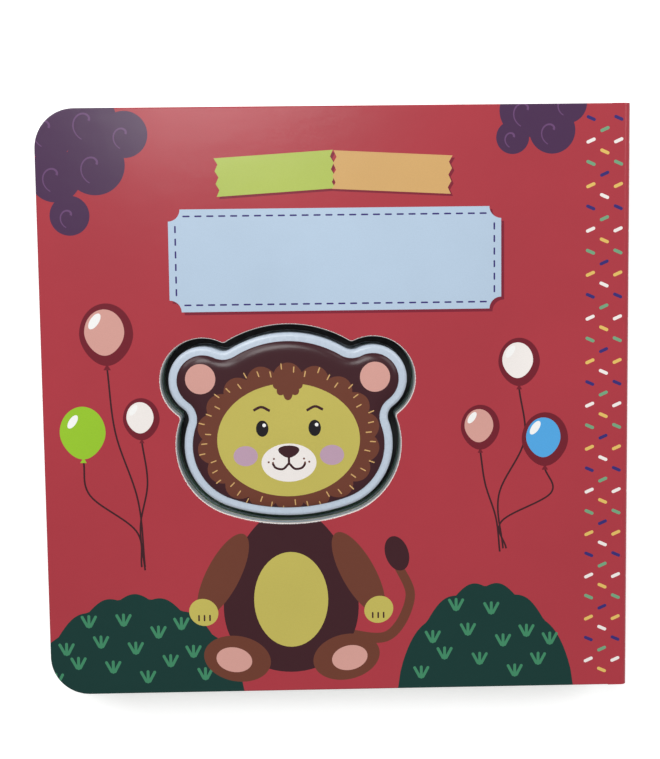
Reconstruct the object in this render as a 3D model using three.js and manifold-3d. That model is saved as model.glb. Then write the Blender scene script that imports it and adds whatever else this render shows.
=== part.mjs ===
// A sound book: a square board book with a die-cut window right through its
// leaves. An animal head stands up in the window from a sound unit in the back,
// and plays a sound when it is pressed. Millimetres, +Z up. The book lies closed
// on its back cover with the spine on +X. The origin is the middle of its
// footprint, on the table.
import * as THREE from "three";
import { mergeVertices } from "three/addons/utils/BufferGeometryUtils.js";
import Module from "manifold-3d";

// The book's boards, from the table up
const bookWidth = 180;
const bookHeight = 180;
const cornerRadius = 12;
const backBoard = 2;
const frameDepth = 9;
const unitPageBoard = 1.5;
const leafBoard = 1.7;
const leafGap = 0.25;
const leafCount = 5;
const frontBoard = 2.25;
const glueDepth = 5;

// The printed card that wraps round the spine and folds as the cover's hinge
const spineCard = 0.8;
const spineFold = 2;
const spineOverlap = 2.4;
const foldSlack = 0.3;

// The head, about its own middle, and the window round it
const headX = -15;
const headY = -6;
const windowGap = 2.5;
const crownRadius = 34;
const crownTop = 28;
const cheekRadius = 20;
const cheekX = 12;
const cheekY = -6.5;
const chinY = -28.5;
const earRadius = 10.5;
const earX = 26;
const earY = 13.5;
const earFillet = 4;

// The head shell and how it stands in the front case
const headRise = 0.75;
const headWall = 1.6;
const headTopWall = 1.8;
const headEdge = 1.2;
const pressTravel = 1.5;
const flangeWidth = 1.4;
const flangeThickness = 1.2;
const collarGap = 0.5;
const restGap = 0.3;
const faceRim = 2.7;
const facePad = 1.2;

// The sound unit's two cases
const caseWidth = 94;
const caseHeight = 72;
const caseCorner = 6;
const caseWall = 1.5;
const caseFit = 1;
const partingHeight = 6;
const bezelWidth = 60;
const bezelHeight = 48;
const bezelCorner = 4;
const bezelFit = 1;
const bezelInset = 0.4;
const caseScrewInset = 6.5;
const bossRadius = 3;
const bossSeatWall = 1;
const screwShank = 1;
const screwHead = 2.1;
const screwHeadHeight = 1;
const screwFit = 0.3;
const pilotFit = 0.2;
const caseScrewLength = 6.6;
const recessLength = 2.2;
const recessWidth = 0.56;
const recessDepth = 0.5;

// The head's guide posts, tubes and springs
const earPostInset = 1;
const chinPostInset = 4.6;
const postRadius = 1.6;
const postTop = 19.5;
const tubeBore = 2;
const tubeRadius = 3.1;
const tubeEnd = 14.5;
const springWire = 0.6;
const springRadius = 2.4;
const springTurns = 4.5;
const ribDepth = 3;
const ribWall = 1.2;

// The press switch under the middle of the head
const pillX = 0;
const pillY = 3;
const pillRadius = 3.4;
const pillHeight = 1.2;
const pillStem = 1.2;
const pillStemLength = 2.4;
const plungerRadius = 3.4;

// The circuit board and what is on it
const boardWidth = 40;
const boardHeight = 24;
const boardThickness = 1;
const boardY = 7.5;
const boardBase = 8.2;
const standoffInset = 3;
const standoffRadius = 2;
const stakeRadius = 0.8;
const stakeHole = 1.1;
const stakeRise = 0.6;
const chipX = -11;
const chipY = 2.5;
const chipRadius = 4.4;
const chipDepth = 1.6;
const canX = 10;
const canY = 4.5;
const canRadius = 2;
const canDepth = 4;
const canEdge = 0.4;
const resistorX = 10;
const resistorY = -7.5;
const resistorLength = 3.2;
const resistorWidth = 1.6;
const resistorDepth = 0.6;

// The speaker, face down over its grille
const speakerY = 9;
const speakerRadius = 13.5;
const speakerDepth = 4.3;
const magnetRadius = 6.5;
const magnetDepth = 2.2;
const grilleHole = 1;
const grillePitch = 3.6;
const grilleRings = 3;
const speakerRingWall = 1.2;
const speakerRingDepth = 2.4;

// Three button cells in a row, under a door held by one screw
const cellRadius = 5.8;
const cellDepth = 5.4;
const cellCount = 3;
const cellGap = 0.5;
const cellEdge = 0.5;
const cellCapRise = 0.5;
const linkWidth = 5;
const linkReach = 3;
const cellY = -12.8;
const bayClearance = 0.9;
const bayWall = 1.1;
const contactStrip = 0.25;
const doorThickness = 1.3;
const doorFit = 0.3;
const doorLip = 1.6;
const doorTongue = 3;
const doorScrewPad = 8;
const doorScrewHead = 0.7;
const doorScrewLength = 5.4;
const doorBossDepth = 4;
const gripCount = 3;
const gripInset = 1.6;
const gripPitch = 1.4;
const gripLength = 8;
const gripWidth = 0.6;
const gripDepth = 0.35;

// The slide switch, with its knob in a slot in the back
const switchX = 24.2;
const switchY = 1.2;
const switchLength = 9;
const switchWidth = 4.4;
const switchDepth = 3;
const switchTravel = 3;
const knobWidth = 2.2;
const knobLength = 3;
const ridgeCount = 3;
const ridgePitch = 0.9;
const ridgeWidth = 0.3;
const ridgeDepth = 0.6;

// The leads inside the case
const leadRadius = 0.45;

// Heights that the sizes above add up to
const frameBase = backBoard;
const unitPageBase = frameBase + frameDepth;
const pagesBase = unitPageBase + unitPageBoard;
const pagesTop = pagesBase + leafCount * leafBoard + (leafCount - 1) * leafGap;
const bookTop = pagesTop + frontBoard;
const headTop = bookTop + headRise;
const headPlate = headTop - headTopWall;
const caseFloor = backBoard + caseWall;
const casePlate = unitPageBase - caseWall;
const caseParting = backBoard + partingHeight;
const flangeTop = casePlate - restGap;
const boardTop = boardBase + boardThickness;
const pillEnd = boardTop + pressTravel + restGap / 2;

const foreEdge = -bookWidth / 2;
const spineFace = bookWidth / 2 - spineCard;
const foldX = bookWidth / 2 - spineOverlap;

const colours = {
  print: 0xc23f4e,
  board: 0xd9d2c4,
  white: 0xe9edf2,
  face: 0xc9bd55,
  plastic: 0x2b2c30,
  bezel: 0xe4e2dc,
  green: 0x1f5a3a,
  steel: 0xb9bbbd,
  rubber: 0x232323,
  copper: 0x7a2b22,
};

const wasm = await Module();
wasm.setup();

const book = new THREE.Group();

/** Names a geometry, colours it and adds it to a group. */
function piece(group, name, geometry, colour, roughness = 0.6, metalness = 0) {
  const material = new THREE.MeshStandardMaterial({ color: colour, roughness, metalness });
  const mesh = new THREE.Mesh(geometry, material);
  mesh.name = name;
  group.add(mesh);
  return mesh;
}

/** A closed geometry as a solid that can be joined and cut. */
function solid(geometry) {
  const bare = geometry.clone();
  bare.deleteAttribute("normal");
  bare.deleteAttribute("uv");
  const merged = mergeVertices(bare, 1e-4);
  const mesh = new wasm.Mesh({
    numProp: 3,
    vertProperties: merged.attributes.position.array,
    triVerts: new Uint32Array(merged.index.array),
  });
  return new wasm.Manifold(mesh);
}

/** A solid back as a geometry. */
function shapeOf(body) {
  const mesh = body.getMesh();
  const geometry = new THREE.BufferGeometry();
  geometry.setAttribute("position", new THREE.BufferAttribute(mesh.vertProperties, 3));
  geometry.setIndex(new THREE.BufferAttribute(mesh.triVerts, 1));
  geometry.computeVertexNormals();
  return geometry;
}

const join = (first, ...others) =>
  shapeOf(others.reduce((body, other) => body.add(solid(other)), solid(first)));
const cut = (first, ...others) =>
  shapeOf(others.reduce((body, other) => body.subtract(solid(other)), solid(first)));

/** A flat shape raised from one height to another. */
function slab(shape, low, high, curveSegments = 5) {
  const made = new THREE.ExtrudeGeometry(shape, {
    depth: high - low,
    bevelEnabled: false,
    curveSegments,
  });
  return made.translate(0, 0, low);
}

/** A rectangle about a middle point, with round corners. */
function roundedRectangle(width, height, radius, x = 0, y = 0, Kind = THREE.Shape) {
  const [left, right] = [x - width / 2, x + width / 2];
  const [low, high] = [y - height / 2, y + height / 2];
  const path = new Kind();
  path.moveTo(left + radius, low);
  path.lineTo(right - radius, low);
  path.absarc(right - radius, low + radius, radius, -Math.PI / 2, 0, false);
  path.lineTo(right, high - radius);
  path.absarc(right - radius, high - radius, radius, 0, Math.PI / 2, false);
  path.lineTo(left + radius, high);
  path.absarc(left + radius, high - radius, radius, Math.PI / 2, Math.PI, false);
  path.lineTo(left, low + radius);
  path.absarc(left + radius, low + radius, radius, Math.PI, Math.PI * 1.5, false);
  return path;
}

/** A box between two corners. */
function block(low, high) {
  const size = high.map((value, axis) => value - low[axis]);
  const middle = high.map((value, axis) => (value + low[axis]) / 2);
  return new THREE.BoxGeometry(...size).translate(...middle);
}

/** An upright round bar. */
function rod(x, y, radius, low, high, sides = 16) {
  const made = new THREE.CylinderGeometry(radius, radius, high - low, sides);
  return made.rotateX(Math.PI / 2).translate(x, y, (low + high) / 2);
}

/** A turned piece standing on Z, from a closed profile of radius and height. */
function turned(x, y, profile, sides = 20) {
  const points = profile.map(([radius, height]) => new THREE.Vector2(radius, height));
  return new THREE.LatheGeometry(points, sides).rotateX(Math.PI / 2).translate(x, y, 0);
}

/** A round bar along a smooth line through points. */
function wire(points, radius, sides = 6, steps = 12) {
  const line = new THREE.CatmullRomCurve3(points.map((point) => new THREE.Vector3(...point)));
  const section = new THREE.Shape();
  for (let side = 0; side < sides; side++) {
    const angle = (side / sides) * Math.PI * 2;
    const [x, y] = [radius * Math.cos(angle), radius * Math.sin(angle)];
    if (side) section.lineTo(x, y);
    else section.moveTo(x, y);
  }
  return new THREE.ExtrudeGeometry(section, { steps, extrudePath: line });
}

// The head's outline is a closed chain of arcs that run into each other. Going
// round it, each arc is tangent to the next, so a round bulge that grows by an
// offset and a hollow fillet that shrinks by it stay tangent: every offset of
// the outline, for the window, the shell's wall or the rim, is exact.

/** The middle of a fillet that touches two circles from outside, on one side of them. */
function filletMiddle(first, second, radius, side) {
  const [dx, dy] = [second.x - first.x, second.y - first.y];
  const apart = Math.hypot(dx, dy);
  const [reach, otherReach] = [first.radius + radius, second.radius + radius];
  const along = (reach ** 2 - otherReach ** 2 + apart ** 2) / (2 * apart);
  const across = side * Math.sqrt(reach ** 2 - along ** 2);
  return {
    x: first.x + (along * dx - across * dy) / apart,
    y: first.y + (along * dy + across * dx) / apart,
    radius,
    bulge: -1,
  };
}

/** The outline's arcs, anticlockwise from the chin. */
function headArcs() {
  const drop = chinY - cheekY;
  const chinRadius =
    (cheekRadius ** 2 - cheekX ** 2 - drop ** 2) / (2 * (drop + cheekRadius));
  const chin = { x: 0, y: chinY + chinRadius, radius: chinRadius, bulge: 1 };
  const crown = { x: 0, y: crownTop - crownRadius, radius: crownRadius, bulge: 1 };
  const cheek = { x: cheekX, y: cheekY, radius: cheekRadius, bulge: 1 };
  const ear = { x: earX, y: earY, radius: earRadius, bulge: 1 };
  const underEar = filletMiddle(cheek, ear, earFillet, -1);
  const overEar = filletMiddle(ear, crown, earFillet, -1);
  const mirrored = (arc) => ({ ...arc, x: -arc.x });
  const right = [cheek, underEar, ear, overEar];
  return [chin, ...right, crown, ...right.map(mirrored).reverse()];
}

/** The direction from one arc's middle to the point where it meets another. */
function meetingAngle(arc, other) {
  const turnsRound = arc.bulge === other.bulge && arc.radius < other.radius;
  const sign = turnsRound ? -1 : 1;
  return Math.atan2(sign * (other.y - arc.y), sign * (other.x - arc.x));
}

/** The head's outline grown by an offset, as points about the head's middle. */
function headOutline(offset = 0) {
  const arcs = headArcs();
  const points = [];
  arcs.forEach((arc, index) => {
    const before = arcs[(index + arcs.length - 1) % arcs.length];
    const after = arcs[(index + 1) % arcs.length];
    const start = meetingAngle(arc, before);
    let sweep = meetingAngle(arc, after) - start;
    while (arc.bulge * sweep < 0) sweep += arc.bulge * Math.PI * 2;
    const steps = Math.max(3, Math.round(Math.abs(sweep) * (2 + arc.radius / 10)));
    const radius = arc.radius + arc.bulge * offset;
    for (let step = 0; step < steps; step++) {
      const angle = start + (sweep * step) / steps;
      points.push(
        new THREE.Vector2(arc.x + radius * Math.cos(angle), arc.y + radius * Math.sin(angle)),
      );
    }
  });
  return points;
}

/** A closed solid whose section, a list of [offset, height], is carried round the head. */
function roundTheHead(section) {
  const rings = section.map(([offset, height]) =>
    headOutline(offset).map((point) => [point.x, point.y, height]),
  );
  const count = rings[0].length;
  const index = [];
  for (let ring = 0; ring + 1 < rings.length; ring++) {
    for (let corner = 0; corner < count; corner++) {
      const [a, b] = [ring * count + corner, ring * count + ((corner + 1) % count)];
      index.push(a, b, b + count, a, b + count, a + count);
    }
  }
  const cap = (offset, first, facesUp) => {
    for (const [a, b, c] of THREE.ShapeUtils.triangulateShape(headOutline(offset), [])) {
      index.push(...(facesUp ? [a, b, c] : [a, c, b]).map((corner) => corner + first));
    }
  };
  cap(section[0][0], 0, false);
  cap(section.at(-1)[0], (rings.length - 1) * count, true);
  const geometry = new THREE.BufferGeometry();
  geometry.setAttribute("position", new THREE.Float32BufferAttribute(rings.flat(2), 3));
  geometry.setIndex(index);
  return geometry;
}

/** The window through a board, as a hole in the book's frame. */
function windowHole() {
  const points = headOutline(windowGap);
  return new THREE.Path(points.map((point) => new THREE.Vector2(point.x + headX, point.y + headY)));
}

/** A board of the book, with round corners at the fore-edge and square ones at the spine. */
function boardOutline(spineSide) {
  const [low, high] = [-bookHeight / 2, bookHeight / 2];
  const roundX = foreEdge + cornerRadius;
  const outline = new THREE.Shape();
  outline.moveTo(spineSide, low);
  outline.lineTo(spineSide, high);
  outline.lineTo(roundX, high);
  outline.absarc(roundX, high - cornerRadius, cornerRadius, Math.PI / 2, Math.PI, false);
  outline.lineTo(foreEdge, low + cornerRadius);
  outline.absarc(roundX, low + cornerRadius, cornerRadius, Math.PI, Math.PI * 1.5, false);
  return outline;
}

/** The front cover, die-cut and free to swing on the fold. */
function makeFrontCover() {
  const outline = boardOutline(foldX - foldSlack);
  outline.holes.push(windowHole());
  piece(book, "front_cover", slab(outline, pagesTop, bookTop), colours.print, 0.35);
}

/** Five leaves, glued to each other along the spine and open at the other three edges. */
function makePages() {
  const leaf = boardOutline(spineFace - restGap);
  leaf.holes.push(windowHole());
  const glued = [spineFace - restGap - glueDepth, -bookHeight / 2];
  const parts = [];
  for (let number = 0; number < leafCount; number++) {
    const low = pagesBase + number * (leafBoard + leafGap);
    parts.push(slab(leaf, low, low + leafBoard));
  }
  const low = [...glued, pagesBase];
  const high = [spineFace - restGap, bookHeight / 2, pagesTop];
  parts.push(block(low, high));
  piece(book, "page_block", join(...parts), colours.board, 0.7);
}

/** The last page, glued over the sound unit. */
function makeUnitPage() {
  const outline = boardOutline(spineFace - restGap);
  outline.holes.push(windowHole());
  piece(book, "sound_unit_page", slab(outline, unitPageBase, pagesBase), colours.print, 0.5);
}

/** The thick grey board that fills the back round the sound unit. */
function makeSpacerFrame() {
  const outline = boardOutline(spineFace - restGap);
  const [width, height] = [caseWidth + 2 * caseFit, caseHeight + 2 * caseFit];
  const hole = roundedRectangle(width, height, caseCorner + caseFit, headX, headY, THREE.Path);
  outline.holes.push(hole);
  piece(book, "spacer_frame", slab(outline, frameBase, unitPageBase), colours.board, 0.8);
}

/** The back cover, with a hole for the sound unit's bezel. */
function makeBackCover() {
  const outline = boardOutline(foldX - foldSlack);
  const [width, height] = [bezelWidth + 2 * bezelFit, bezelHeight + 2 * bezelFit];
  const hole = roundedRectangle(width, height, bezelCorner + bezelFit, headX, headY, THREE.Path);
  outline.holes.push(hole);
  piece(book, "back_cover", slab(outline, 0, backBoard), colours.print, 0.35);
}

/** The card round the spine: a U whose two arms lie level with the covers' faces. */
function makeSpineWrap() {
  const outer = bookWidth / 2;
  const inner = spineFold - spineCard;
  const bend = outer - spineFold;
  const section = new THREE.Shape();
  section.moveTo(foldX, 0);
  section.lineTo(bend, 0);
  section.absarc(bend, spineFold, spineFold, -Math.PI / 2, 0, false);
  section.lineTo(outer, bookTop - spineFold);
  section.absarc(bend, bookTop - spineFold, spineFold, 0, Math.PI / 2, false);
  section.lineTo(foldX, bookTop);
  section.lineTo(foldX, bookTop - spineCard);
  section.lineTo(bend, bookTop - spineCard);
  section.absarc(bend, bookTop - spineFold, inner, Math.PI / 2, 0, true);
  section.lineTo(spineFace, spineFold);
  section.absarc(bend, spineFold, inner, 0, -Math.PI / 2, true);
  section.lineTo(foldX, spineCard);
  const card = new THREE.ExtrudeGeometry(section, {
    depth: bookHeight,
    bevelEnabled: false,
    curveSegments: 8,
  });
  card.rotateX(Math.PI / 2).translate(0, bookHeight / 2, 0);
  piece(book, "spine_wrap", card, colours.print, 0.35);
}

const unit = new THREE.Group();
unit.position.set(headX, headY, 0);
book.add(unit);

const postX = earX - earPostInset;
const postY = earY - earPostInset;
const chinPostY = chinY + chinPostInset;
const postPlaces = [
  ["left", -postX, postY],
  ["right", postX, postY],
  ["chin", 0, chinPostY],
];
const caseScrewPlaces = [-1, 1].flatMap((sideX) =>
  [-1, 1].map((sideY) => [
    sideX * (caseWidth / 2 - caseScrewInset),
    sideY * (caseHeight / 2 - caseScrewInset),
  ]),
);

/** The moulded head: a cup in the outline's shape, with a flange that holds it in. */
function makeHeadShell() {
  const flangeLow = flangeTop - flangeThickness;
  const edge = [0, 1, 2, 3].map((step) => {
    const angle = (step / 3) * (Math.PI / 2);
    return [headEdge * (Math.cos(angle) - 1), headTop + headEdge * (Math.sin(angle) - 1)];
  });
  const cup = roundTheHead([
    [-headWall, headPlate],
    [-headWall, flangeLow],
    [flangeWidth, flangeLow],
    [flangeWidth, flangeTop],
    [0, flangeTop],
    ...edge,
  ]);
  const overlap = 0.4;
  const tubes = postPlaces.map(([, x, y]) => rod(x, y, tubeRadius, tubeEnd, headPlate + overlap));
  const plunger = rod(pillX, pillY, plungerRadius, pillEnd + pillHeight, headPlate + overlap);
  const ribs = [
    block(
      [-postX, postY - ribWall / 2, headPlate - ribDepth],
      [postX, postY + ribWall / 2, headPlate + overlap],
    ),
    block(
      [-ribWall / 2, chinPostY, headPlate - ribDepth],
      [ribWall / 2, postY, headPlate + overlap],
    ),
  ];
  const bores = postPlaces.map(([, x, y]) => rod(x, y, tubeBore, tubeEnd - 1, headPlate - restGap));
  const stemHole = rod(
    pillX,
    pillY,
    pillStem + restGap,
    pillEnd,
    pillEnd + pillHeight + pillStemLength + restGap,
  );
  const whole = [...tubes, plunger, ...ribs].reduce((body, part) => body.add(solid(part)), solid(cup));
  const bored = [...bores, stemHole].reduce((body, part) => body.subtract(solid(part)), whole);
  piece(unit, "head_shell", shapeOf(bored), colours.white, 0.3);
}

/** The soft printed face on the head, with a puffed edge. */
function makeFacePad() {
  const pad = roundTheHead([
    [-faceRim, headTop],
    [-faceRim, headTop + facePad * 0.45],
    [-faceRim - 0.35, headTop + facePad * 0.8],
    [-faceRim - 1.2, headTop + facePad],
  ]);
  piece(unit, "face_pad", pad, colours.face, 0.3);
}

/** The conductive rubber pill that the head presses on the circuit board. */
function makePill() {
  const shoulder = pillEnd + pillHeight;
  const profile = [
    [0, pillEnd],
    [pillRadius - 0.6, pillEnd],
    [pillRadius, pillEnd + 0.5],
    [pillRadius, shoulder],
    [pillStem, shoulder],
    [pillStem, shoulder + pillStemLength],
    [0, shoulder + pillStemLength],
  ];
  piece(unit, "contact_pill", turned(pillX, pillY, profile, 16), colours.rubber, 0.9);
}

/** A coil spring round each post, between the back case and the head's tube. */
function makeSprings() {
  const low = caseFloor + springWire / 2 + 0.1;
  const high = tubeEnd - springWire / 2 - 0.1;
  const stepsInTurn = 10;
  const count = springTurns * stepsInTurn;
  for (const [name, x, y] of postPlaces) {
    const points = [];
    for (let step = 0; step <= count; step++) {
      const angle = (step / stepsInTurn) * Math.PI * 2;
      const height = low + ((high - low) * step) / count;
      const [sin, cos] = [Math.sin(angle), Math.cos(angle)];
      points.push([x + springRadius * cos, y + springRadius * sin, height]);
    }
    const coil = wire(points, springWire / 2, 5, count);
    piece(unit, `return_spring_${name}`, coil, colours.steel, 0.35, 0.9);
  }
}

/** The front case: a lid with a collar in the head's shape. */
function makeFrontCase() {
  const outer = roundedRectangle(caseWidth, caseHeight, caseCorner);
  outer.holes.push(new THREE.Path(headOutline(collarGap)));
  const plate = slab(outer, casePlate, unitPageBase);
  const rim = roundedRectangle(caseWidth, caseHeight, caseCorner);
  const [width, height] = [caseWidth - 2 * caseWall, caseHeight - 2 * caseWall];
  rim.holes.push(roundedRectangle(width, height, caseCorner - caseWall, 0, 0, THREE.Path));
  const wall = slab(rim, caseParting, casePlate + 0.2);
  const bossEnd = caseFloor + bossSeatWall + 0.2;
  const bosses = caseScrewPlaces.map(([x, y]) => rod(x, y, bossRadius, bossEnd, casePlate + 0.2));
  const pilots = caseScrewPlaces.map(([x, y]) =>
    rod(x, y, screwShank + pilotFit, bossEnd - 1, casePlate - 0.8, 12),
  );
  const whole = [wall, ...bosses].reduce((body, part) => body.add(solid(part)), solid(plate));
  const bored = pilots.reduce((body, part) => body.subtract(solid(part)), whole);
  piece(unit, "front_case", shapeOf(bored), colours.plastic, 0.5);
}

const bayLength = 2 * cellRadius * cellCount + cellGap * (cellCount - 1) + 2 * bayClearance;
const bayWidth = 2 * cellRadius + 2 * bayClearance;
const cellBase = backBoard + contactStrip + 0.15;
const bayTop = cellBase + cellDepth + contactStrip + 0.2;
const doorLeft = -bayLength / 2 - doorLip;
const doorRight = bayLength / 2 + doorScrewPad;
const doorScrewX = bayLength / 2 + doorScrewPad / 2;

/** The holes over the speaker, on rings of a hexagon. */
function grillePlaces() {
  const places = [[0, 0]];
  for (let ring = 1; ring <= grilleRings; ring++) {
    for (let number = 0; number < 6 * ring; number++) {
      const side = Math.floor(number / ring);
      const share = (number % ring) / ring;
      const [a, b] = [side, side + 1].map((corner) => (corner * Math.PI) / 3);
      const x = (1 - share) * Math.cos(a) + share * Math.cos(b);
      const y = (1 - share) * Math.sin(a) + share * Math.sin(b);
      places.push([x * ring * grillePitch, y * ring * grillePitch]);
    }
  }
  return places;
}

/** The back case: a tray with a bezel, posts, a battery bay and seats for its parts. */
function makeBackCase() {
  const sunk = 0.2;
  const seatTop = caseFloor + bossSeatWall - 0.1;
  const rim = roundedRectangle(caseWidth, caseHeight, caseCorner);
  const [width, height] = [caseWidth - 2 * caseWall, caseHeight - 2 * caseWall];
  rim.holes.push(roundedRectangle(width, height, caseCorner - caseWall, 0, 0, THREE.Path));
  const bezel = roundedRectangle(bezelWidth, bezelHeight, bezelCorner);
  const ringBore = speakerRadius + restGap;
  const ringOutside = ringBore + speakerRingWall;
  const speakerRing = new THREE.Shape().absarc(0, speakerY, ringOutside, 0, Math.PI * 2);
  speakerRing.holes.push(new THREE.Path().absarc(0, speakerY, ringBore, 0, Math.PI * 2));
  const bayOutside = roundedRectangle(bayLength + 2 * bayWall, bayWidth + 2 * bayWall, 1, 0, cellY);
  const standoffs = boardCorners().flatMap(([x, y]) => [
    rod(x, y, standoffRadius, caseFloor - sunk, boardBase, 12),
    rod(x, y, stakeRadius, boardBase - sunk, boardTop + stakeRise, 6),
  ]);
  const added = [
    slab(rim, caseFloor - sunk, caseParting),
    slab(bezel, bezelInset, backBoard + sunk),
    slab(speakerRing, caseFloor - sunk, caseFloor + speakerRingDepth, 14),
    slab(bayOutside, caseFloor - sunk, bayTop + bayWall),
    ...postPlaces.map(([, x, y]) => rod(x, y, postRadius, caseFloor - sunk, postTop, 10)),
    ...caseScrewPlaces.map(([x, y]) => rod(x, y, bossRadius + 1, caseFloor - sunk, seatTop)),
    rod(doorScrewX, cellY, bossRadius, caseFloor - sunk, caseFloor + doorBossDepth, 14),
    ...standoffs,
  ];
  const door = new THREE.Shape();
  const [low, high] = [cellY - bayWidth / 2 - doorLip, cellY + bayWidth / 2 + doorLip];
  door.moveTo(doorLeft, low);
  door.lineTo(doorRight, low);
  door.lineTo(doorRight, high);
  door.lineTo(doorLeft, high);
  const slotLength = knobLength + switchTravel + 2 * restGap;
  const slotWidth = knobWidth + 2 * restGap;
  const removed = [
    slab(door, bezelInset - 1, backBoard),
    block(
      [doorLeft - doorTongue, cellY - bayWidth / 4, backBoard - doorThickness / 2 - restGap],
      [doorLeft + 1, cellY + bayWidth / 4, backBoard],
    ),
    block(
      [-bayLength / 2, cellY - bayWidth / 2, backBoard - 1],
      [bayLength / 2, cellY + bayWidth / 2, bayTop],
    ),
    rod(doorScrewX, cellY, screwShank + pilotFit, backBoard - 1, caseFloor + doorBossDepth - 0.6, 12),
    block(
      [switchX - slotWidth / 2, switchY - slotLength / 2, bezelInset - 1],
      [switchX + slotWidth / 2, switchY + slotLength / 2, caseFloor + 1],
    ),
    ...caseScrewPlaces.map(([x, y]) => rod(x, y, screwShank + screwFit, 0, caseFloor + 2, 12)),
    ...caseScrewPlaces.map(([x, y]) =>
      rod(x, y, screwHead + screwFit, 0, backBoard + screwHeadHeight + screwFit, 16),
    ),
    ...grillePlaces().map(([x, y]) =>
      rod(x, y + speakerY, grilleHole, bezelInset - 1, caseFloor + 1, 6),
    ),
  ];
  const floor = solid(slab(roundedRectangle(caseWidth, caseHeight, caseCorner), backBoard, caseFloor));
  const whole = added.reduce((body, part) => body.add(solid(part)), floor);
  const opened = removed.reduce((body, part) => body.subtract(solid(part)), whole);
  piece(unit, "back_case", shapeOf(opened), colours.bezel, 0.5);
}

/** The middles of the circuit board's four fixing holes. */
function boardCorners() {
  return [-1, 1].flatMap((sideX) =>
    [-1, 1].map((sideY) => [
      sideX * (boardWidth / 2 - standoffInset),
      boardY + sideY * (boardHeight / 2 - standoffInset),
    ]),
  );
}

/** The circuit board, staked on the back case, with its chip and two small parts. */
function makeCircuit() {
  const board = roundedRectangle(boardWidth, boardHeight, 1.5, 0, boardY);
  const holes = boardCorners().map(([x, y]) =>
    rod(x, y, stakeHole, boardBase - 1, boardTop + 1, 10),
  );
  piece(unit, "circuit_board", cut(slab(board, boardBase, boardTop), ...holes), colours.green, 0.5);
  const blob = [
    [0, boardTop],
    [chipRadius, boardTop],
    [chipRadius - 0.3, boardTop + chipDepth - 0.9],
    [chipRadius - 1.6, boardTop + chipDepth - 0.3],
    [0, boardTop + chipDepth],
  ];
  const chip = turned(chipX, boardY + chipY, blob, 16);
  piece(unit, "sound_chip", chip, colours.rubber, 0.5);
  const can = [
    [0, boardTop],
    [canRadius, boardTop],
    [canRadius, boardTop + canDepth - canEdge],
    [canRadius - canEdge, boardTop + canDepth],
    [0, boardTop + canDepth],
  ];
  const capacitor = turned(canX, boardY + canY, can, 12);
  piece(unit, "capacitor", capacitor, colours.steel, 0.4, 0.6);
  const [left, low] = [resistorX - resistorLength / 2, boardY + resistorY - resistorWidth / 2];
  const resistor = block(
    [left, low, boardTop],
    [left + resistorLength, low + resistorWidth, boardTop + resistorDepth],
  );
  piece(unit, "resistor", resistor, colours.rubber, 0.6);
}

/** The speaker: a pressed basket, its magnet and the thin cone that faces the grille. */
function makeSpeaker() {
  const base = caseFloor + restGap;
  const neck = base + speakerDepth - magnetDepth;
  const basket = [
    [speakerRadius, base],
    [speakerRadius, base + 0.8],
    [speakerRadius - 1.6, base + 0.8],
    [magnetRadius + 2, neck],
    [0, neck],
    [0, neck - 0.5],
    [magnetRadius + 1.8, neck - 0.5],
    [speakerRadius - 2, base + 0.3],
    [speakerRadius - 2, base],
    [speakerRadius, base],
  ];
  piece(unit, "speaker_basket", turned(0, speakerY, basket, 24), colours.steel, 0.4, 0.8);
  const magnet = [
    [0, neck],
    [magnetRadius, neck],
    [magnetRadius, neck + magnetDepth - 0.4],
    [magnetRadius - 0.4, neck + magnetDepth],
    [0, neck + magnetDepth],
  ];
  piece(unit, "speaker_magnet", turned(0, speakerY, magnet), colours.steel, 0.35, 0.9);
  const cone = [
    [0, base + 0.6],
    [3.4, base + 0.25],
    [speakerRadius - 4.5, base + 0.05],
    [speakerRadius - 2.3, base - 0.15],
    [speakerRadius - 2.3, base + 0.05],
    [speakerRadius - 4.5, base + 0.25],
    [3.4, base + 0.45],
    [0, base + 0.9],
  ];
  piece(unit, "speaker_cone", turned(0, speakerY, cone), colours.rubber, 0.5);
}

/** Three cells in a row, turned over one after the other, and the strips that link them. */
function makeCells() {
  const pitch = 2 * cellRadius + cellGap;
  const [low, high] = [cellBase, cellBase + cellDepth];
  const shoulder = cellDepth - cellCapRise;
  for (let number = 0; number < cellCount; number++) {
    const x = (number - (cellCount - 1) / 2) * pitch;
    const capDown = number % 2 === 0;
    const profile = [
      [0, 0],
      [cellRadius - cellEdge, 0],
      [cellRadius, cellEdge],
      [cellRadius, shoulder],
      [cellRadius - 1, shoulder],
      [cellRadius - 1.2, cellDepth],
      [0, cellDepth],
    ];
    const placed = profile.map(([radius, height]) => [radius, capDown ? high - height : low + height]);
    const order = capDown ? placed.reverse() : placed;
    piece(unit, `button_cell_${number + 1}`, turned(x, cellY, order), colours.steel, 0.3, 0.95);
  }
  const [under, over] = [low - contactStrip - 0.05, high + 0.05];
  const bayEnd = bayLength / 2 - 0.2;
  const strip = (name, left, right, height) => {
    const [near, far] = [cellY - linkWidth / 2, cellY + linkWidth / 2];
    const bar = block([left, near, height], [right, far, height + contactStrip]);
    piece(unit, name, bar, colours.steel, 0.3, 0.95);
  };
  strip("cell_link_top", -pitch - linkReach, linkReach, over);
  strip("cell_link_bottom", -linkReach, pitch + linkReach, under);
  strip("contact_plus", pitch - linkReach, bayEnd, over);
  strip("contact_minus", -bayEnd, -pitch + linkReach, under);
}

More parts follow.
